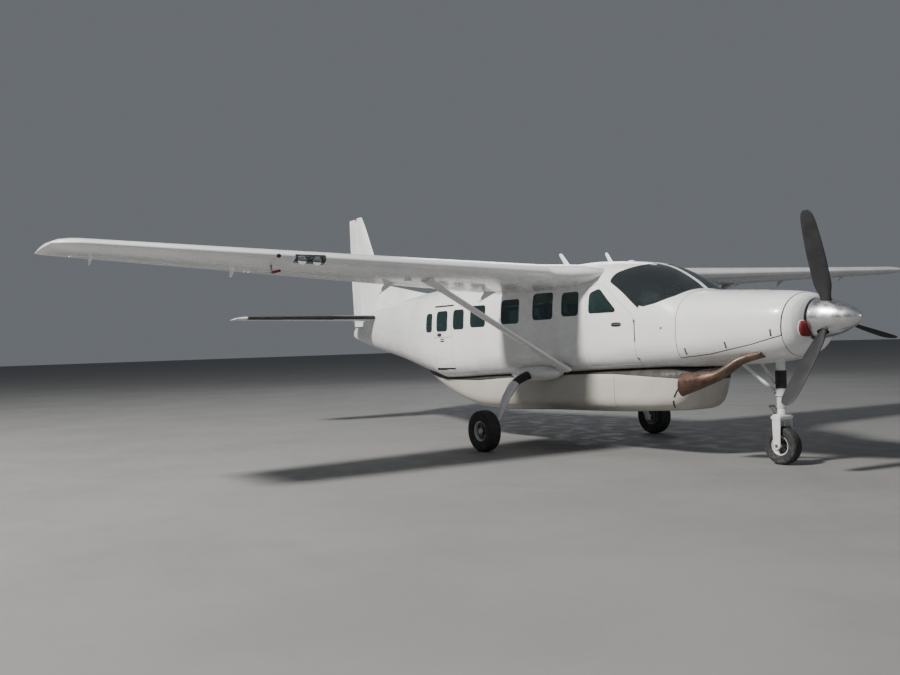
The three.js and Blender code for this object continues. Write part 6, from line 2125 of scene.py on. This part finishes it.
CAMERA = {"place": (12.751, -9.917, 1.642), "yaw": 2.55952937, "pitch": 0.00580885741, "roll": -0.0290862635,
          "focal": 938.28}
IMAGE_WIDTH, SENSOR = 900, 36.0


def make_camera():
    yaw, pitch, roll = CAMERA["yaw"], CAMERA["pitch"], CAMERA["roll"]
    ahead = Vector((math.cos(yaw) * math.cos(pitch), math.sin(yaw) * math.cos(pitch), math.sin(pitch)))
    level = Vector((math.sin(yaw), -math.cos(yaw), 0))
    above = level.cross(ahead)
    right = level * math.cos(roll) + above * math.sin(roll)
    up = above * math.cos(roll) - level * math.sin(roll)
    data = bpy.data.cameras.new("camera")
    data.sensor_fit, data.sensor_width = "HORIZONTAL", SENSOR
    data.lens = CAMERA["focal"] / IMAGE_WIDTH * SENSOR
    data.clip_end = 500
    camera = bpy.data.objects.new("camera", data)
    camera.matrix_world = Matrix((
        (right.x, up.x, -ahead.x, CAMERA["place"][0]),
        (right.y, up.y, -ahead.y, CAMERA["place"][1]),
        (right.z, up.z, -ahead.z, CAMERA["place"][2]),
        (0, 0, 0, 1),
    ))
    bpy.context.scene.collection.objects.link(camera)
    bpy.context.scene.camera = camera


def make_light(name, place, target, size, power, colour=(1, 1, 1)):
    data = bpy.data.lights.new(name, "AREA")
    data.shape, data.size, data.energy, data.color = "DISK", size, power, colour
    light = bpy.data.objects.new(name, data)
    light.location = place
    light.rotation_euler = (Vector(target) - Vector(place)).to_track_quat("-Z", "Y").to_euler()
    bpy.context.scene.collection.objects.link(light)


def make_stage():
    mesh = bpy.data.meshes.new("floor")
    reach = 150
    corners = [(-reach, -reach, 0), (reach, -reach, 0), (reach, reach, 0), (-reach, reach, 0)]
    mesh.from_pydata(corners, [], [(0, 1, 2, 3)])
    floor = bpy.data.objects.new("floor", mesh)
    bpy.context.scene.collection.objects.link(floor)
    mesh.materials.append(plain("pale_floor", (0.22, 0.22, 0.217), (0.20, 0.20, 0.198), 0.9, 0.5).material)
    world = bpy.data.worlds.new("studio")
    world.use_nodes = True
    world.node_tree.nodes["Background"].inputs["Color"].default_value = (0.80, 0.86, 0.95, 1)
    world.node_tree.nodes["Background"].inputs["Strength"].default_value = 0.18
    bpy.context.scene.world = world
    make_light("key", (2, -23.5, 21), (0, -0.5, 1.6), 4, 15500, (1, 0.97, 0.92))
    make_light("nose_fill", (26, 2, 7), (2, 0, 1.6), 9, 400)
    make_light("back_fill", (-16, 14, 12), (-2, 0, 2), 10, 900, (0.93, 0.96, 1))


make_camera()
make_cabin()
make_doors()
make_steps()
make_tail_cone()
make_cowl()
for word, side in SIDES.items():
    make_wing(word, side)
    make_strut(word, side)
    make_gear(word, side)
    nodes = ("main_wheel_" + word, "main_tyre_" + word)
    make_wheel("main_" + word, MAIN_WHEEL, side, "main_roller_" + word, nodes)
    make_wing_lines(word, side)
make_wheel("nose", NOSE_WHEEL, 0, "nose_roller", ("nose_wheel", "nose_tyre"))
make_stabilizer()
make_fin()
make_nose_gear()
make_propeller()
make_exhaust()
make_pod()
make_seats()
make_panel()
make_controls()
make_skin_lines()
make_small_fittings()
carried_over()
make_stage()

for obj in MADE:
    if obj not in KEPT:
        bpy.data.objects.remove(obj)
